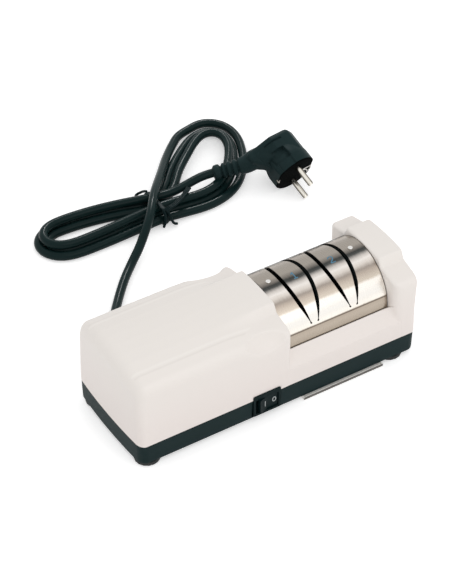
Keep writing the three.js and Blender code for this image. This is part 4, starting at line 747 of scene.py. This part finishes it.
def make_finishes():
    """All finishes of the object: the record's slots, and what single pieces have."""
    steel, grain, ink = {"Metallic": 1}, (4, 2, 0.7), (1.5, 3)

    def dull(level):
        return {"IOR": 1.4, "Specular IOR Level": level}

    def plastic(base, lighter, grain, depth, rough):
        """Fine grain, a slow drift of colour and of gloss."""
        return mottled(base, lighter, SLOW_DRIFT, rough, 0.1, (grain, 3, 0.6), depth)

    black = plastic((0.002, 0.0125, 0.0135), (0.004, 0.0165, 0.0175), 1.9, 0.03, 0.46)
    dark = plastic((0.003, 0.010, 0.011), (0.007, 0.016, 0.017), 2.6, 0.012, 0.3)
    guide = plastic((0.002, 0.004, 0.004), (0.005, 0.008, 0.008), 2, 0.02, 0.5)
    block = plastic((0.60, 0.58, 0.53), (0.68, 0.66, 0.60), 1.2, 0.02, 0.4)
    brown = plastic((0.14, 0.055, 0.025), (0.20, 0.085, 0.04), 1.2, 0.02, 0.35)
    blue = plastic((0.03, 0.11, 0.34), (0.05, 0.16, 0.42), 1.2, 0.02, 0.35)
    bloom = ((0.010, 0.012, 0.012), (0.024, 0.026, 0.026), (0.12, 2), 0.72, 0.16, (1.8, 3))
    pits = ((0.38, 0.39, 0.40), (0.58, 0.59, 0.60), (0.12, 2), 0.42, 0.2, (1.4, 4, 0.7))
    grit = ((0.16, 0.165, 0.17), (0.52, 0.53, 0.54), grain, 0.55, 0.3, (1.2, 2))
    blue_ink = ((0.03, 0.13, 0.22), (0.09, 0.26, 0.38), ink, 0.4, 0.15, ink)
    white_ink = ((0.26, 0.28, 0.28), (0.42, 0.44, 0.44), ink, 0.4, 0.15, ink)
    wire = ((0.30, 0.10, 0.035), (0.62, 0.25, 0.09), wire_phase, 0.3, 0.15, (0.5, 2))
    sheets = ((0.13, 0.13, 0.14), (0.34, 0.35, 0.36), sheet_phase, 0.38, 0.2, (0.3, 3))
    drawn = metal((0.50, 0.48, 0.45), (0.66, 0.64, 0.61), (0.04, 2, 2), 1, 0.24)
    bright = metal((0.66, 0.65, 0.62), (0.86, 0.85, 0.83), (2, 2, 0.3), 1, 0.16)
    # darker steel: painted shade for the earth contacts in the plug's recesses
    clip = metal((0.30, 0.27, 0.23), (0.44, 0.41, 0.36), (2, 2, 0.3), 1, 0.3)
    nickel = metal((0.36, 0.37, 0.39), (0.5, 0.51, 0.53), (1, 1, 1), 0.8, 0.2)
    table = {
        "white_plastic": (white_moulding, {"IOR": 1.42}),
        "black_plastic": (black, dull(0.16)),
        "dark_plastic": (dark, dull(0.07)),
        "guide_plastic": (guide, dull(0.16)),
        "plug_plastic": (plug_moulding, dull(0.05)),
        "cord_plastic": (cord_sheath, dull(0.12)),
        "arch_steel": (arch_steel, steel),
        "stainless": (drawn, steel),
        "bright_steel": (bright, steel),
        "tray_steel": (tray_sheet, {"Metallic": 0.05}),
        "pin_nickel": (nickel_pin, steel),
        "clip_steel_painted_shade": (clip, steel),
        "magnet": (nickel, steel),
        "rubber": (mottled(*bloom, 0.03), {}),
        "cast_alloy": (mottled(*pits, 0.08), steel),
        "lamination": (lined(*sheets, 0.05), steel),
        "copper": (lined(*wire, 0.15), steel),
        "abrasive": (mottled(*grit, 0.12, grain), {"Metallic": 0.7}),
        "block_plastic": (block, {}),
        "brown_lead": (brown, {}),
        "blue_lead": (blue, {}),
        "blue_print": (mottled(*blue_ink), {}),
        "white_print": (mottled(*white_ink), {}),
    }
    return {name: finish(name, *how) for name, how in table.items()}


# White housing

HOUSING_WALL = 1.8
LEFT_TOP_RADIUS, RIGHT_TOP_RADIUS, END_RISE = 10, 3.4, 63
HOOD_START, HOOD_BLEND_START, BLEND_LENGTH = -58, -52, 60
SCOOP_X, SCOOP_HALF, SCOOP_RADIUS, SCOOP_OUT, SCOOP_UP, SCOOP_SOFT = -13, 23, 17, 54, 56, 1.6
LEDGE_HALF, LEDGE_HEIGHT, LEDGE_TOP, LEDGE_INSET = 37.35, 48.95, 37.6, 0.12
UNDER_COVER = 2.5
BROW = [(25.5, 78.3, 1.8), (21.5, 85.2, 1.8), (10.75, 86.03, 45), (0, 86.03, 0)]


def on_wall(z, radius, inset=0.0):
    """A section's corner on the drafted side wall, at a height."""
    return HALF_WIDTH - WALL_DRAFT * (z - SEAM_HEIGHT) - inset, z, radius


def housing_skin(material):
    """The white moulding as a grid: columns go over the body by angle, rows go along it,
    up and down its end faces. A point's distance from the line (y 0, z 22) is that of
    the section at its row, so the surface is distance(angle, row) at x(angle, row)."""
    turn = np.linspace(0, np.pi, 361)
    fold = np.minimum(turn, np.pi - turn)
    dy, dz = np.cos(fold), np.sin(fold)

    def reach(corners):
        """Distances, at all angles, of the half section through these corners."""
        outline = spaced(rounded(corners, 10), count=1500)
        return reach_of(outline - (0, SEAM_HEIGHT), fold)

    foot = on_wall(SEAM_HEIGHT, 0)
    motor = [
        foot,
        on_wall(76, 9),
        (33.5, 80.6, 1.6),
        (27.25, 82.15, 45),
        (21, 83.7, 12),
        (10.5, 84.825, 45),
        (0, 85.2, 0),
    ]
    crest = [foot, on_wall(72.5, 11), (38, 75.4, 6), *BROW]
    ledge = [
        on_wall(SEAM_HEIGHT, 0, LEDGE_INSET),
        on_wall(LEDGE_TOP, 1.6, LEDGE_INSET),
        (LEDGE_HALF, LEDGE_HEIGHT),
    ]
    bracket_reach = reach([foot, on_wall(74, 6), *BROW])

    def hood_reach(share):
        """The hood's section, from the plain motor housing (0) to its crest (1)."""
        flow = smoothstep(share, 0.1, 0.95)
        return reach(np.array(motor) * (1 - flow) + np.array(crest) * flow)

    # the ledges beside the bay, and the line under the cover where its walls end
    opening = fold > math.atan2(LEDGE_HEIGHT - SEAM_HEIGHT, LEDGE_HALF)
    rise = COVER_AXIS - SEAM_HEIGHT
    arch = dz * rise + np.sqrt((dz * rise) ** 2 - rise**2 + COVER_RADIUS**2)
    low = np.where(opening, arch - UNDER_COVER, reach(ledge))

    def scooped(distance, x):
        """Thumb scoops: a smooth minimum with the near side of an ellipsoid."""
        width = 1 - ((x - SCOOP_X) / SCOOP_HALF) ** 2
        if width <= 0:
            return distance
        across = SCOOP_OUT * dy + SCOOP_UP * dz
        inside = SCOOP_RADIUS**2 * width - (SCOOP_OUT**2 + SCOOP_UP**2) + across**2
        near = across - np.sqrt(np.maximum(inside, 0))
        near = np.where(inside > 0, near, 1e3)
        gap = np.clip(0.5 + 0.5 * (near - distance) / SCOOP_SOFT, 0, 1)
        return near + (distance - near) * gap - SCOOP_SOFT * gap * (1 - gap)

    def edge_radius(limit, share, height):
        """An edge's radius at each angle, less where the step is low."""
        return np.clip(np.minimum(limit, share * height), 0.02, None)

    # hood, from the start of its left rounding to the edge of its end face
    plain = hood_reach(0.0)
    top_share = smoothstep(fold, 0.35, 0.95)
    left_radius, right_radius = (
        CORNER_RADIUS + (radius - CORNER_RADIUS) * top_share
        for radius in (LEFT_TOP_RADIUS, RIGHT_TOP_RADIUS)
    )
    start = left_radius - HALF_LENGTH
    rows = [(start + (HOOD_START - start) * s, plain) for s in np.linspace(0, 1, 12)[:-1]]
    for x in np.concatenate([np.arange(HOOD_START, 4.5, 1.25), [4.9]]):
        share = np.clip((x - HOOD_BLEND_START) / BLEND_LENGTH, 0, 1)
        rows.append((x, scooped(hood_reach(share), x)))

    # down the hood's end face, along the bay, up the bracket and over it
    final = scooped(hood_reach(1.0), HOOD_END)
    hood_edge = edge_radius(2.0, 0.45, final - low)
    hood_foot = np.where(opening, 0.05, edge_radius(4.5, 0.5, final - low))
    bracket_foot = np.where(opening, 0.05, edge_radius(6, 0.5, bracket_reach - low))
    bracket_edge = edge_radius(2.4, 0.45, bracket_reach - low)

    def straight(count):
        shares = np.linspace(0, 1, count)[1:-1]
        return shares, shares

    x, r = HOOD_END - hood_edge, final
    marks = []
    for next_x, next_r, (x_shares, r_shares) in (
        (HOOD_END, final - hood_edge, quarter(7)[::-1]),
        (HOOD_END, low + hood_foot, straight(12)),
        (HOOD_END + hood_foot, low, quarter(8)),
        (BAY_END - bracket_foot, low, straight(30)),
        (BAY_END, low + bracket_foot, quarter(8)[::-1]),
        (BAY_END, bracket_reach - bracket_edge, straight(14)),
        (BAY_END + bracket_edge, bracket_reach, quarter(7)),
        (HALF_LENGTH - right_radius, bracket_reach, straight(10)),
    ):
        marks.append(len(rows))
        for x_share, r_share in zip(x_shares, r_shares):
            rows.append((x + (next_x - x) * x_share, r + (next_r - r) * r_share))
        x, r = next_x, next_r
    first_bay, last_bay = marks[3] - 1, marks[4]
    x, r = np.array([[np.broadcast_to(v, turn.shape) for v in row] for row in rows]).swapaxes(0, 1)
    y, z = r * np.cos(turn), SEAM_HEIGHT + r * np.sin(turn)

    # soft upright edges in plan: the bracket's inner ones and the hood's end ones
    def set_back(radius):
        deep = np.clip(np.abs(y) - (HALF_WIDTH - radius), 0, radius)
        return radius - np.sqrt(radius**2 - deep**2)

    x = x + set_back(9) * smoothstep(x, 66, 97) * (1 - smoothstep(x, 103, 117))
    x = x - set_back(4) * smoothstep(x, -8, 6) * (1 - smoothstep(x, 12, 30))

    def end_cap(row, sign, depth, top_radius):
        """An end: the section shrinks while it turns into the bowed face."""
        caps = []
        for inward, climb in zip(*quarter(10)):
            cap_y = y[row] * (1 - CORNER_RADIUS * inward / HALF_WIDTH)
            shrink = 1 - top_radius * inward / END_RISE
            cap_z = SEAM_HEIGHT + (z[row] - SEAM_HEIGHT) * shrink
            bow = END_BOW * (cap_y / HALF_WIDTH) ** 2
            cap_x = sign * (HALF_LENGTH - bow * climb - depth * (1 - climb))
            caps.append(as_points(cap_x, cap_y, cap_z))
        for share in np.linspace(1, 0, 12)[1:]:
            face_y = cap_y * share
            face_x = sign * (HALF_LENGTH - END_BOW * (face_y / HALF_WIDTH) ** 2)
            face_z = SEAM_HEIGHT + (cap_z - SEAM_HEIGHT) * share
            caps.append(as_points(face_x, face_y, face_z))
        return np.array(caps)

    left = end_cap(0, -1, left_radius, LEFT_TOP_RADIUS)[::-1]
    right = end_cap(-1, 1, right_radius, RIGHT_TOP_RADIUS)
    grid = np.concatenate([left, as_points(x, y, z), right])
    keep = np.ones((len(grid) - 1, len(turn) - 1), bool)
    bay = slice(len(left) + first_bay, len(left) + last_bay)
    keep[bay] = ~(opening[:-1] & opening[1:])
    faces = grid_faces(len(grid), len(turn), keep=keep)
    shape = {"wall": HOUSING_WALL, "sharp": 50}
    item = mesh_piece("housing_skin", [(grid, faces)], material, **shape)
    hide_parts("upper_housing")


# Base band

SWITCH_OPENING, BASE_WALL = (-26.7, -0.9), 0.9


def base_band(material):
    """Outer wall of the dark base: rows are levels (inset, height) from the seam down to
    the rounded lower edge, columns follow a rounded rectangle whose ends are bowed. The
    cells behind the switch are left out."""
    levels = [(0.06, 21.62), (0.2, 16), (0.45, 10), (0.55, 7), (0.62, 5.4)]
    levels += [(0.7 + 1.1 * creep, 4.9 - 1.1 * climb) for creep, climb in zip(*quarter(7))]
    levels += [(3.4, 3.8)]
    cx, cy = HALF_LENGTH - CORNER_RADIUS, HALF_WIDTH - CORNER_RADIUS
    corners = ((cx, -cy), (cx, cy), (-cx, cy), (-cx, -cy))
    stops, counts = (-cx, *SWITCH_OPENING, cx), (12, 5, 14)
    front = [np.linspace(*stops[k : k + 2], count)[:-1] for k, count in enumerate(counts)]
    front = np.concatenate(front)
    rows = []
    for inset, height in levels:
        x, y = [front], [np.full(len(front), inset - HALF_WIDTH)]
        radius = CORNER_RADIUS - inset
        for k, (corner_x, corner_y) in enumerate(corners):
            arc = np.linspace(-np.pi / 2, 0, 10) + k * np.pi / 2
            x.append(corner_x + radius * np.cos(arc))
            y.append(corner_y + radius * np.sin(arc))
            if k < 3:
                share = np.linspace(0, 1, 24 if k == 1 else 14)[1:-1]
                x.append(x[-1][-1] + (corners[k + 1][0] - corner_x) * share)
                y.append(y[-1][-1] + (corners[k + 1][1] - corner_y) * share)
        x, y = np.concatenate(x), np.concatenate(y)
        bow = END_BOW * (y / HALF_WIDTH) ** 2 * smoothstep(np.abs(x), 100, HALF_LENGTH)
        rows.append(as_points(x - np.sign(x) * bow, y, height))
    grid = np.array(rows)
    keep = np.ones((len(levels) - 1, grid.shape[1]), bool)
    first = counts[0] - 1
    keep[:4, first : first + counts[1] - 1] = False
    faces = grid_faces(len(levels), grid.shape[1], wrap_columns=True, keep=keep)
    item = mesh_piece("base_band", [(grid, faces[:, ::-1])], material, wall=BASE_WALL)


# Steel cover

SLOTS = [(36, -1), (36, 1), (71, -1), (71, 1)]
SLOT_LEAN = math.tan(math.radians(18))
COVER_START, COVER_END, COVER_WALL = 8.35, 100.65, 0.8
SLOT_HALF_GAP, SLOT_HOLE_RADIUS = 3.2, 0.8


def slot_middle(centre, side, z):
    """A slot leans: its middle moves outwards with height."""
    return centre + side * (SLOT_HALF_GAP + (z - SLOT_TIP) * SLOT_LEAN)


def cover_profile():
    """Half section of the cover, from the top down: an arc about the cover's axis to the
    fold, then the straight skirt to the foot. Gives y, z."""
    fold_angle = math.acos((COVER_FOLD - COVER_AXIS) / COVER_RADIUS)
    angle = np.linspace(0, fold_angle, 150)
    y, z = COVER_RADIUS * np.sin(angle), COVER_AXIS + COVER_RADIUS * np.cos(angle)
    t = np.linspace(0, 1, 14)[1:]
    y = np.concatenate([y, y[-1] + (COVER_FOOT_HALF - y[-1]) * t])
    z = np.concatenate([z, z[-1] + (COVER_AXIS - z[-1]) * t])
    return y, z


def slot_width(z):
    """Width of a slot at a height: full near the top, closing towards a round hole."""
    wide = np.interp(z, [SLOT_TIP, SLOT_TIP + 1.6, 75, 90], [0.8, 0.8, 3.4, 3.4])
    below = z - SLOT_TIP + 0.2
    hole = np.sqrt(np.clip(SLOT_HOLE_RADIUS**2 - below**2, 0, None)) * 2
    return np.where(z < SLOT_TIP, hole, np.maximum(wide, hole))


def steel_cover(material):
    """The cover as a grid: columns follow the section, rows run along it in panels that
    end at the slots' edges, so that the slots come out where no cell is kept."""
    y_half, z_half = cover_profile()
    y = np.concatenate([-y_half[::-1], y_half[1:]])
    z = np.concatenate([z_half[::-1], z_half[1:]])
    width = slot_width(z)
    edges = [np.full_like(z, COVER_START)]
    for centre, side in SLOTS:
        middle = slot_middle(centre, side, np.maximum(z, SLOT_TIP - 1.2))
        edges += [middle - width / 2, middle + width / 2]
    edges.append(np.full_like(z, COVER_END))
    rows, cells = [], []
    for k in range(len(edges) - 1):
        slot = k % 2 == 1
        for share in [0.0] if slot else np.linspace(0, 1, 9)[:-1]:
            rows.append(edges[k] + (edges[k + 1] - edges[k]) * share)
            cells.append(slot)
    x = np.array([*rows, edges[-1]])
    open_here = np.array(cells)[:, None] & (width[:-1] + width[1:] > 1e-6)
    grid = as_points(x, y, z)
    faces = grid_faces(len(grid), len(y), keep=~open_here)[:, ::-1]
    shape = {"wall": COVER_WALL, "sharp": 18, "close": 2e-3}
    item = mesh_piece("slotted_cover", [(grid, faces)], material, **shape)
    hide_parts("bay_cover")


# A figure's strokes, in shares of its size: u along the body, v up the arch to the back
FIGURE_SIZE, STROKE_WIDTH, INK_LIFTS = 6.6, 0.85, (-0.05, 0.07)
ONE = [
    [(-0.22, 0.22), (-0.05, 0.42), (0.06, 0.5), (0.06, 0.2), (0.06, -0.44)],
    [(-0.2, -0.46), (0.06, -0.46), (0.32, -0.46)],
]
TWO_BOW = [(-0.3, 0.24), (-0.2, 0.43), (0.02, 0.5), (0.24, 0.4), (0.28, 0.18)]
TWO_SLOPE = [(0.1, -0.08), (-0.16, -0.3), (-0.3, -0.46)]
TWO = [TWO_BOW + TWO_SLOPE, [(-0.3, -0.46), (0.0, -0.46), (0.32, -0.46)]]


def stage_numbers(material):
    """Ribbons wrapped on the cover: x = origin + u, and the angle from the top is v over
    the cover's radius."""
    for name, strokes, from_x, from_v in (
        ("number_1", ONE, 36.4, -3.7),
        ("number_2", TWO, 70.4, -3.4),
    ):

        def on_arch(u, v, lift):
            radius, angle = COVER_RADIUS + lift, (v + from_v) / COVER_RADIUS
            height = COVER_AXIS + radius * np.cos(angle)
            return as_points(from_x + u, radius * np.sin(angle), height)

        lines = [smooth_line(stroke, 10) * FIGURE_SIZE for stroke in strokes]
        parts = [capped(ribbon(line, STROKE_WIDTH, INK_LIFTS, on_arch)) for line in lines]
        item = mesh_piece(name, parts, material)


# Small pieces


def cover_screws(material):
    """Round-headed screws: a shank under a low flange and a domed head."""
    shank, head, start, seat, rim = 1.25, 1.95, 80.7, 85.2, 85.85
    for number, x in ((1, 16.3), (2, 90)):
        profile = [(0, start), (shank, start), (shank, seat), (head, seat), (head, rim)]
        profile += domed(head, rim, 0.75, 8)
        parts = [turned(profile, (x, 0, 0), "z", 28)]
        item = mesh_piece(f"screw_head_{number}", parts, material)
        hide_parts(f"cover_screw_{number}")


def gland(material):
    """Ribbed strain relief: radius falls towards the tip, with rounded grooves. It has a
    flange on either side of the wall that it goes through."""
    start, tip, bore, flange = 48.65, 72.85, 3.3, 6
    place = np.linspace(start, tip, 90)
    share = (place - start) / (tip - start)
    grooves = smoothstep(np.cos(share * 2 * np.pi * 5.5), 0.45, 0.85)
    radius = 5.5 - 1.2 * share - 0.9 * grooves
    profile = [(0, 40.5), (flange, 40.5), (flange, 42.3), (4.6, 42.3), (4.6, 46.85)]
    profile += [(flange, 46.85), (flange, 48.3), (5.6, start), *zip(radius, place)]
    profile += [(bore, tip), (bore, 71), (0, 71)]
    item = mesh_piece("cord_grommet", [turned(profile, CORD_EXIT, "y", 36)], material)
    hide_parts("cord_gland")
    return item


TIE_FRONT, TIE_BACK, TIE_LOW, TIE_HIGH, TIE_CORNER = 183.9, 218.1, 0.3, 16.75, 6
BAND_HALF_WIDTH, BAND_HALF_THICK, BAND_LIFT = 2.1, 0.62, 0.66
STRAND_RADIUS, STRAND_PITCH, TWIST_RADIUS, TWIST_END_RADIUS = 0.78, 1.35, 1.15, 0.7
STRAP = [(37.5, 186, 15.6), (42, 187.2, 16.6), (48, 188.6, 16.6), (60, 195, 16.6), (69, 201, 16.8)]
TWISTS = (
    [(38.5, 187, 15.8), (39.5, 183, 14), (40.5, 181.4, 9), (42.5, 181, 4.5), (46, 181.2, 2.2)],
    [(36.5, 187, 15.8), (35.6, 183, 13), (34.6, 181.6, 8), (33, 181.6, 3.4)],
    [(37.5, 216, 15.9), (37.2, 220, 13.5), (36.6, 223.5, 10.5), (34, 225.2, 8.6), (31, 224, 8.4)],
)


def squared_round(half, angle, power):
    """One coordinate of a superellipse, from the sine or cosine of its angle."""
    return half * np.sign(angle) * np.abs(angle) ** power


def tie_band(material):
    """Tie: a flat band round the hank's waist, a strap of three strands that lies along
    the cord, and three twisted ends."""
    loop = [(TIE_FRONT, TIE_LOW), (TIE_BACK, TIE_LOW), (TIE_BACK, TIE_HIGH), (TIE_FRONT, TIE_HIGH)]
    loop = rounded([(*corner, TIE_CORNER) for corner in loop], 10)
    loop = np.vstack([loop, loop[:1]])
    line = spaced(np.insert(loop, 0, TIE_PLACE, axis=1), 0.8)[:-1]
    ahead = unit(np.roll(line, -1, 0) - np.roll(line, 1, 0))
    out = np.cross(ahead, (1, 0, 0))
    out *= np.sign((out * (line - line.mean(0))).sum(1))[:, None]
    angle = full_turn(14)
    wave = 0.25 * np.sin(travelled(line) * 0.9)
    along = squared_round(BAND_HALF_WIDTH, np.cos(angle), 0.5) + wave[:, None]
    thick = squared_round(BAND_HALF_THICK, np.sin(angle), 0.7) - BAND_LIFT
    grid = line[:, None] + along[..., None] * (1, 0, 0) + thick[None, :, None] * out[:, None]
    parts = [(grid, grid_faces(len(grid), len(angle), wrap_rows=True, wrap_columns=True))]
    strap = spaced(smooth_line(STRAP), 0.6)
    aside = unit(np.cross(np.gradient(strap, axis=0), (0, 0, 1)))
    parts += [tube(strap + k * STRAND_PITCH * aside, STRAND_RADIUS, 12) for k in (-1, 0, 1)]
    for ends in TWISTS:
        strand = spaced(smooth_line(ends), 0.6)
        radius = np.full(len(strand), TWIST_RADIUS)
        radius[[0, -1]] = TWIST_END_RADIUS
        parts.append(tube(strand, radius, 12))
    item = mesh_piece("cord_tie_band", parts, material, sharp=60)
    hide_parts("cord_tie")
    return item


ROCKER_TILT, ROCKER_BEND_Y = math.radians(10), -46.35


def switch_marks(material):
    """I and O on the rocker's two faces, as thin raised ribbons."""
    face = ROCKER_BEND_Y - SWITCH_PIVOT[1]
    sine, cosine = math.sin(ROCKER_TILT), math.cos(ROCKER_TILT)
    turn = np.array([[cosine, -sine], [sine, cosine]])

    def on_face(u, v, lift):
        """Points on the rocker's faces, u from their bend: each slopes away from it by
        the angle at which the rocker rests, and both are turned by that angle."""
        local = as_points(u, face - np.abs(u) * math.tan(ROCKER_TILT))
        x, y = (local @ turn.T + SWITCH_PIVOT).T
        return as_points(x, y - lift, v)

    lifts = (0.08, -0.06)
    bar = as_points(-3.0, np.linspace(12.1, 17.3, 8))
    angle = np.linspace(0, 2 * np.pi, 33)
    ring = as_points(5.6 + 1.35 * np.cos(angle), 14.8 + 2.0 * np.sin(angle))
    ring = ribbon(ring, 0.85, lifts, on_face)[:-1]
    for name, part in (
        ("mark_on", capped(ribbon(bar, 0.9, lifts, on_face))),
        ("mark_off", (ring, grid_faces(len(ring), 4, True, True))),
    ):
        item = mesh_piece(name, [part], material, body="rocker")


# Plug

DRUM_RADIUS, DRUM_FLAT, GRIP_SIZE = 19.2, 17.3, 18.6
GRIP_SHARES = [(0.9, 0.48), (0.54, 0.91), (-0.43, 0.91), (-1.29, 0.4), (-1.55, 0.34)]
SHELL_END, BACK_START, BACK_END = 29.5, 29.6, 33.8
NECK_START, NECK_END = (143.5, 187.6, 30.6), (95.8, 206.4, 17.2)
NECK_SHARES = [0, 0.16, 0.32, 0.5, 0.86, 0.93, 0.975, 1]
NECK_RADII = [9.8, 9.6, 8.6, 7.5, 6.3, 6.5, 6.1, 4.6]
GROOVE_SHARES, GROOVE_DEPTH = (0.594, 0.69, 0.785, 0.868), 1.9
PIN_ROOT, PIN_RIM, PIN_DOME = -2.25, 17.9, 1.8
CLIP_LOOP = [
    (7.6, 0.9), (12, 1.5), (16, 1.2), (16.6, -3.2), (14.2, -6.6), (12.6, -2.4), (7.6, 0.9),
]


def plug_axes():
    """Axes of the plug: across the pins' line, along it, and out of the face."""
    out = unit(np.array((0.1, -0.93, -0.37)))
    across = unit(np.array((1.0, 0, 0)) - out * out[0])
    return across, np.cross(out, across), out


def in_plug(points):
    """Places of points that are given along the plug's axes."""
    return PLUG_PLACE + np.asarray(points, float) @ np.array(plug_axes())


def plug_shell():
    """The plug's drum and grip. At each depth d the section reaches, in each direction,
    as far as the larger of the drum (a circle with two flats) and the six-sided grip
    times its swelling, which starts later on the neck's side. A pocket, a step and a
    groove are pressed into the two broad sides, a notch into each flat."""
    angle = full_turn(288)
    across, along = np.cos(angle), np.sin(angle)
    drum = np.minimum(DRUM_RADIUS, DRUM_FLAT / np.maximum(np.abs(across), 1e-6))
    half = [(u * GRIP_SIZE, v * GRIP_SIZE, 4) for u, v in GRIP_SHARES]
    outline = rounded(half + [(u, -v, r) for u, v, r in half[::-1]], 8)
    share = np.linspace(0, 1, 40, endpoint=False)[None, :, None]
    edges = (np.roll(outline, -1, axis=0) - outline)[:, None] * share
    grip = reach_of((outline[:, None] + edges).reshape(-1, 2), angle, 2 * np.pi)
    rim, climb = quarter(6)
    depth = np.concatenate([1.2 * rim, np.arange(1.6, SHELL_END, 0.35)])
    front = np.ones(len(depth))
    front[: len(rim)] = 0.94 + 0.06 * climb
    front = front * (0.86 + 0.14 * smoothstep(depth, 24, 9)) * (depth < 24)
    early = np.interp(depth, [5, 8, 10, 13], [0, 0.8, 0.96, 1])
    late = np.interp(depth, [8, 14, 17, 20, 24, 27], [0.5, 0.6, 0.67, 0.8, 0.96, 1])
    beside = smoothstep(-across, 0.55, 0.95)
    swell = early[:, None] * (1 - beside) + late[:, None] * beside
    reach = np.maximum(drum * front[:, None], grip * swell)
    inward, climb = quarter(8)
    back = as_points(1 - 0.16 * inward, BACK_START + (BACK_END - BACK_START) * climb)
    lid = [(0.74, BACK_END), (0.72, 33.2), (0.70, 33.2), (0.68, BACK_END)]
    back = np.vstack([back, lid])
    reach = np.vstack([reach, grip * back[:, :1]])
    depth = np.concatenate([depth, back[:, 1]])[:, None]
    u, v = reach * across, reach * along
    broad = smoothstep(np.abs(v), 8, 10)
    pressed = 3.4 * window(u, -15.5, -2.6) * window(depth, 9.2, 20.3)
    pressed = pressed + 1.0 * window(u, -14.5, -3.4) * (depth < 9) * (depth > 0.3)
    pressed = pressed + 1.2 * window(u, -15, 1) * window(depth, 27.4, 28.8)
    v = v - np.sign(v) * broad * pressed
    notch = window(v, -2.6, -0.2) * window(depth, -1, 2.8) * (np.abs(u) > 15)
    u = u - 1.3 * np.sign(u) * notch
    rings = as_points(u, v, -depth)
    middle = rings[[0, -1]] * [0, 0, 1]
    rings = np.concatenate([middle[:1], rings[:1] * [0.5, 0.5, 1], rings, middle[1:]])
    return in_plug(rings), grid_faces(len(rings), len(angle), wrap_columns=True)


def plug(material):
    """The plug: drum and grip, and a thick neck that bends into a relief with four
    grooves and a rounded collar."""
    neck = np.vstack([NECK_START, NECK_ROUTE, RELIEF_END, NECK_END])
    line = spaced(smooth_line(neck), 0.3)
    share = travelled(line) / travelled(line)[-1]
    radius = np.interp(share, NECK_SHARES, NECK_RADII)
    for place in GROOVE_SHARES:
        radius = radius - GROOVE_DEPTH * window(share, place - 0.016, place + 0.016, 0.03)
    parts = [plug_shell(), tube(line, radius, 40)]
    item = mesh_piece("plug_moulding", parts, material, sharp=38)
    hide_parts("plug_body")
    return item


def earth_clip(material):
    """The end of the earth spring, a narrow loop bent over the face's rim."""
    path = np.array([(u, v, 0.15) for u, v in CLIP_LOOP])
    parts = [tube(in_plug(spaced(path, 0.4)), 0.5, 12, upright=(1, 0, 0.2))]
    item = mesh_piece("earth_clip", parts, material, sharp=60)
    return item


def plug_pins(material):
    """Round pins with domed tips."""
    made = []
    for side, name in ((-1, "lower"), (1, "upper")):
        profile = [(0, PIN_ROOT), (PIN_RADIUS, PIN_ROOT), (PIN_RADIUS, PIN_RIM)]
        profile += domed(PIN_RADIUS, PIN_RIM, PIN_DOME, 9)
        grid, faces = turned(profile, (0, side * PIN_OFFSET, 0), "z", 28)
        item = mesh_piece(f"pin_{name}", [(in_plug(grid), faces)], material)
        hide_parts(f"plug_pin_{name}")
        made.append(item)
    return made


# CAD nodes that stay get their finish and soft shading


def soft_shading():
    """Node group: merges a CAD node's loose triangles and shades it smooth, except over
    edges sharper than 32 degrees."""
    group = bpy.data.node_groups.new("soft_shading", "GeometryNodeTree")
    for way in ("INPUT", "OUTPUT"):
        group.interface.new_socket("Geometry", in_out=way, socket_type="NodeSocketGeometry")
    kinds = (
        "NodeGroupInput",
        "NodeGroupOutput",
        "GeometryNodeMergeByDistance",
        "GeometryNodeInputMeshEdgeAngle",
        "FunctionNodeCompare",
        "GeometryNodeSetShadeSmooth",
        "GeometryNodeSetShadeSmooth",
    )
    start, end, merge, angle, sharp, faces, edges = map(group.nodes.new, kinds)
    merge.inputs["Distance"].default_value = 2e-6
    sharp.data_type, sharp.operation = "FLOAT", "LESS_THAN"
    sharp.inputs[1].default_value = math.radians(32)
    faces.domain, edges.domain = "FACE", "EDGE"
    for before, after in ((start, merge), (merge, faces), (faces, edges), (edges, end)):
        group.links.new(before.outputs[0], after.inputs[0])
    group.links.new(angle.outputs["Unsigned Angle"], sharp.inputs[0])
    group.links.new(sharp.outputs[0], edges.inputs["Shade Smooth"])
    return group


OWN_FINISH = {
    "filings_tray": "tray_steel",
    # the earth contacts get steel darkened with painted shade
    "earth_contact_left": "clip_steel_painted_shade",
    "earth_contact_right": "clip_steel_painted_shade",
}


def dress_cad_nodes(finishes):
    group = soft_shading()
    slots = {part["node"]: part["material_slot"] for part in frame["record"]["subparts"]}
    for name, item in cad_nodes.items():
        material = finishes[OWN_FINISH.get(name, slots[name])]
        item.data.materials.clear()
        item.data.materials.append(material)
        item.modifiers.new("soft_shading", "NODES").node_group = group


place_camera()
glossy_pieces = light_studio()
lay_floor()
finishes = make_finishes()
dress_cad_nodes(finishes)
cord, cord_path = make_cord(finishes["cord_plastic"])
plug_piece = plug(finishes["plug_plastic"])
pins = plug_pins(finishes["pin_nickel"])
clip = earth_clip(finishes["stainless"])
tie = tie_band(finishes["dark_plastic"])
grommet = gland(finishes["dark_plastic"])
tuple(cord_path[0] * MM)
(cord_path * MM).tolist()
for item in (cord, plug_piece, tie, grommet):
    glossy_pieces.objects.link(item)
housing_skin(finishes["white_plastic"])
base_band(finishes["black_plastic"])
steel_cover(finishes["arch_steel"])
stage_numbers(finishes["blue_print"])
cover_screws(finishes["bright_steel"])
switch_marks(finishes["white_print"])
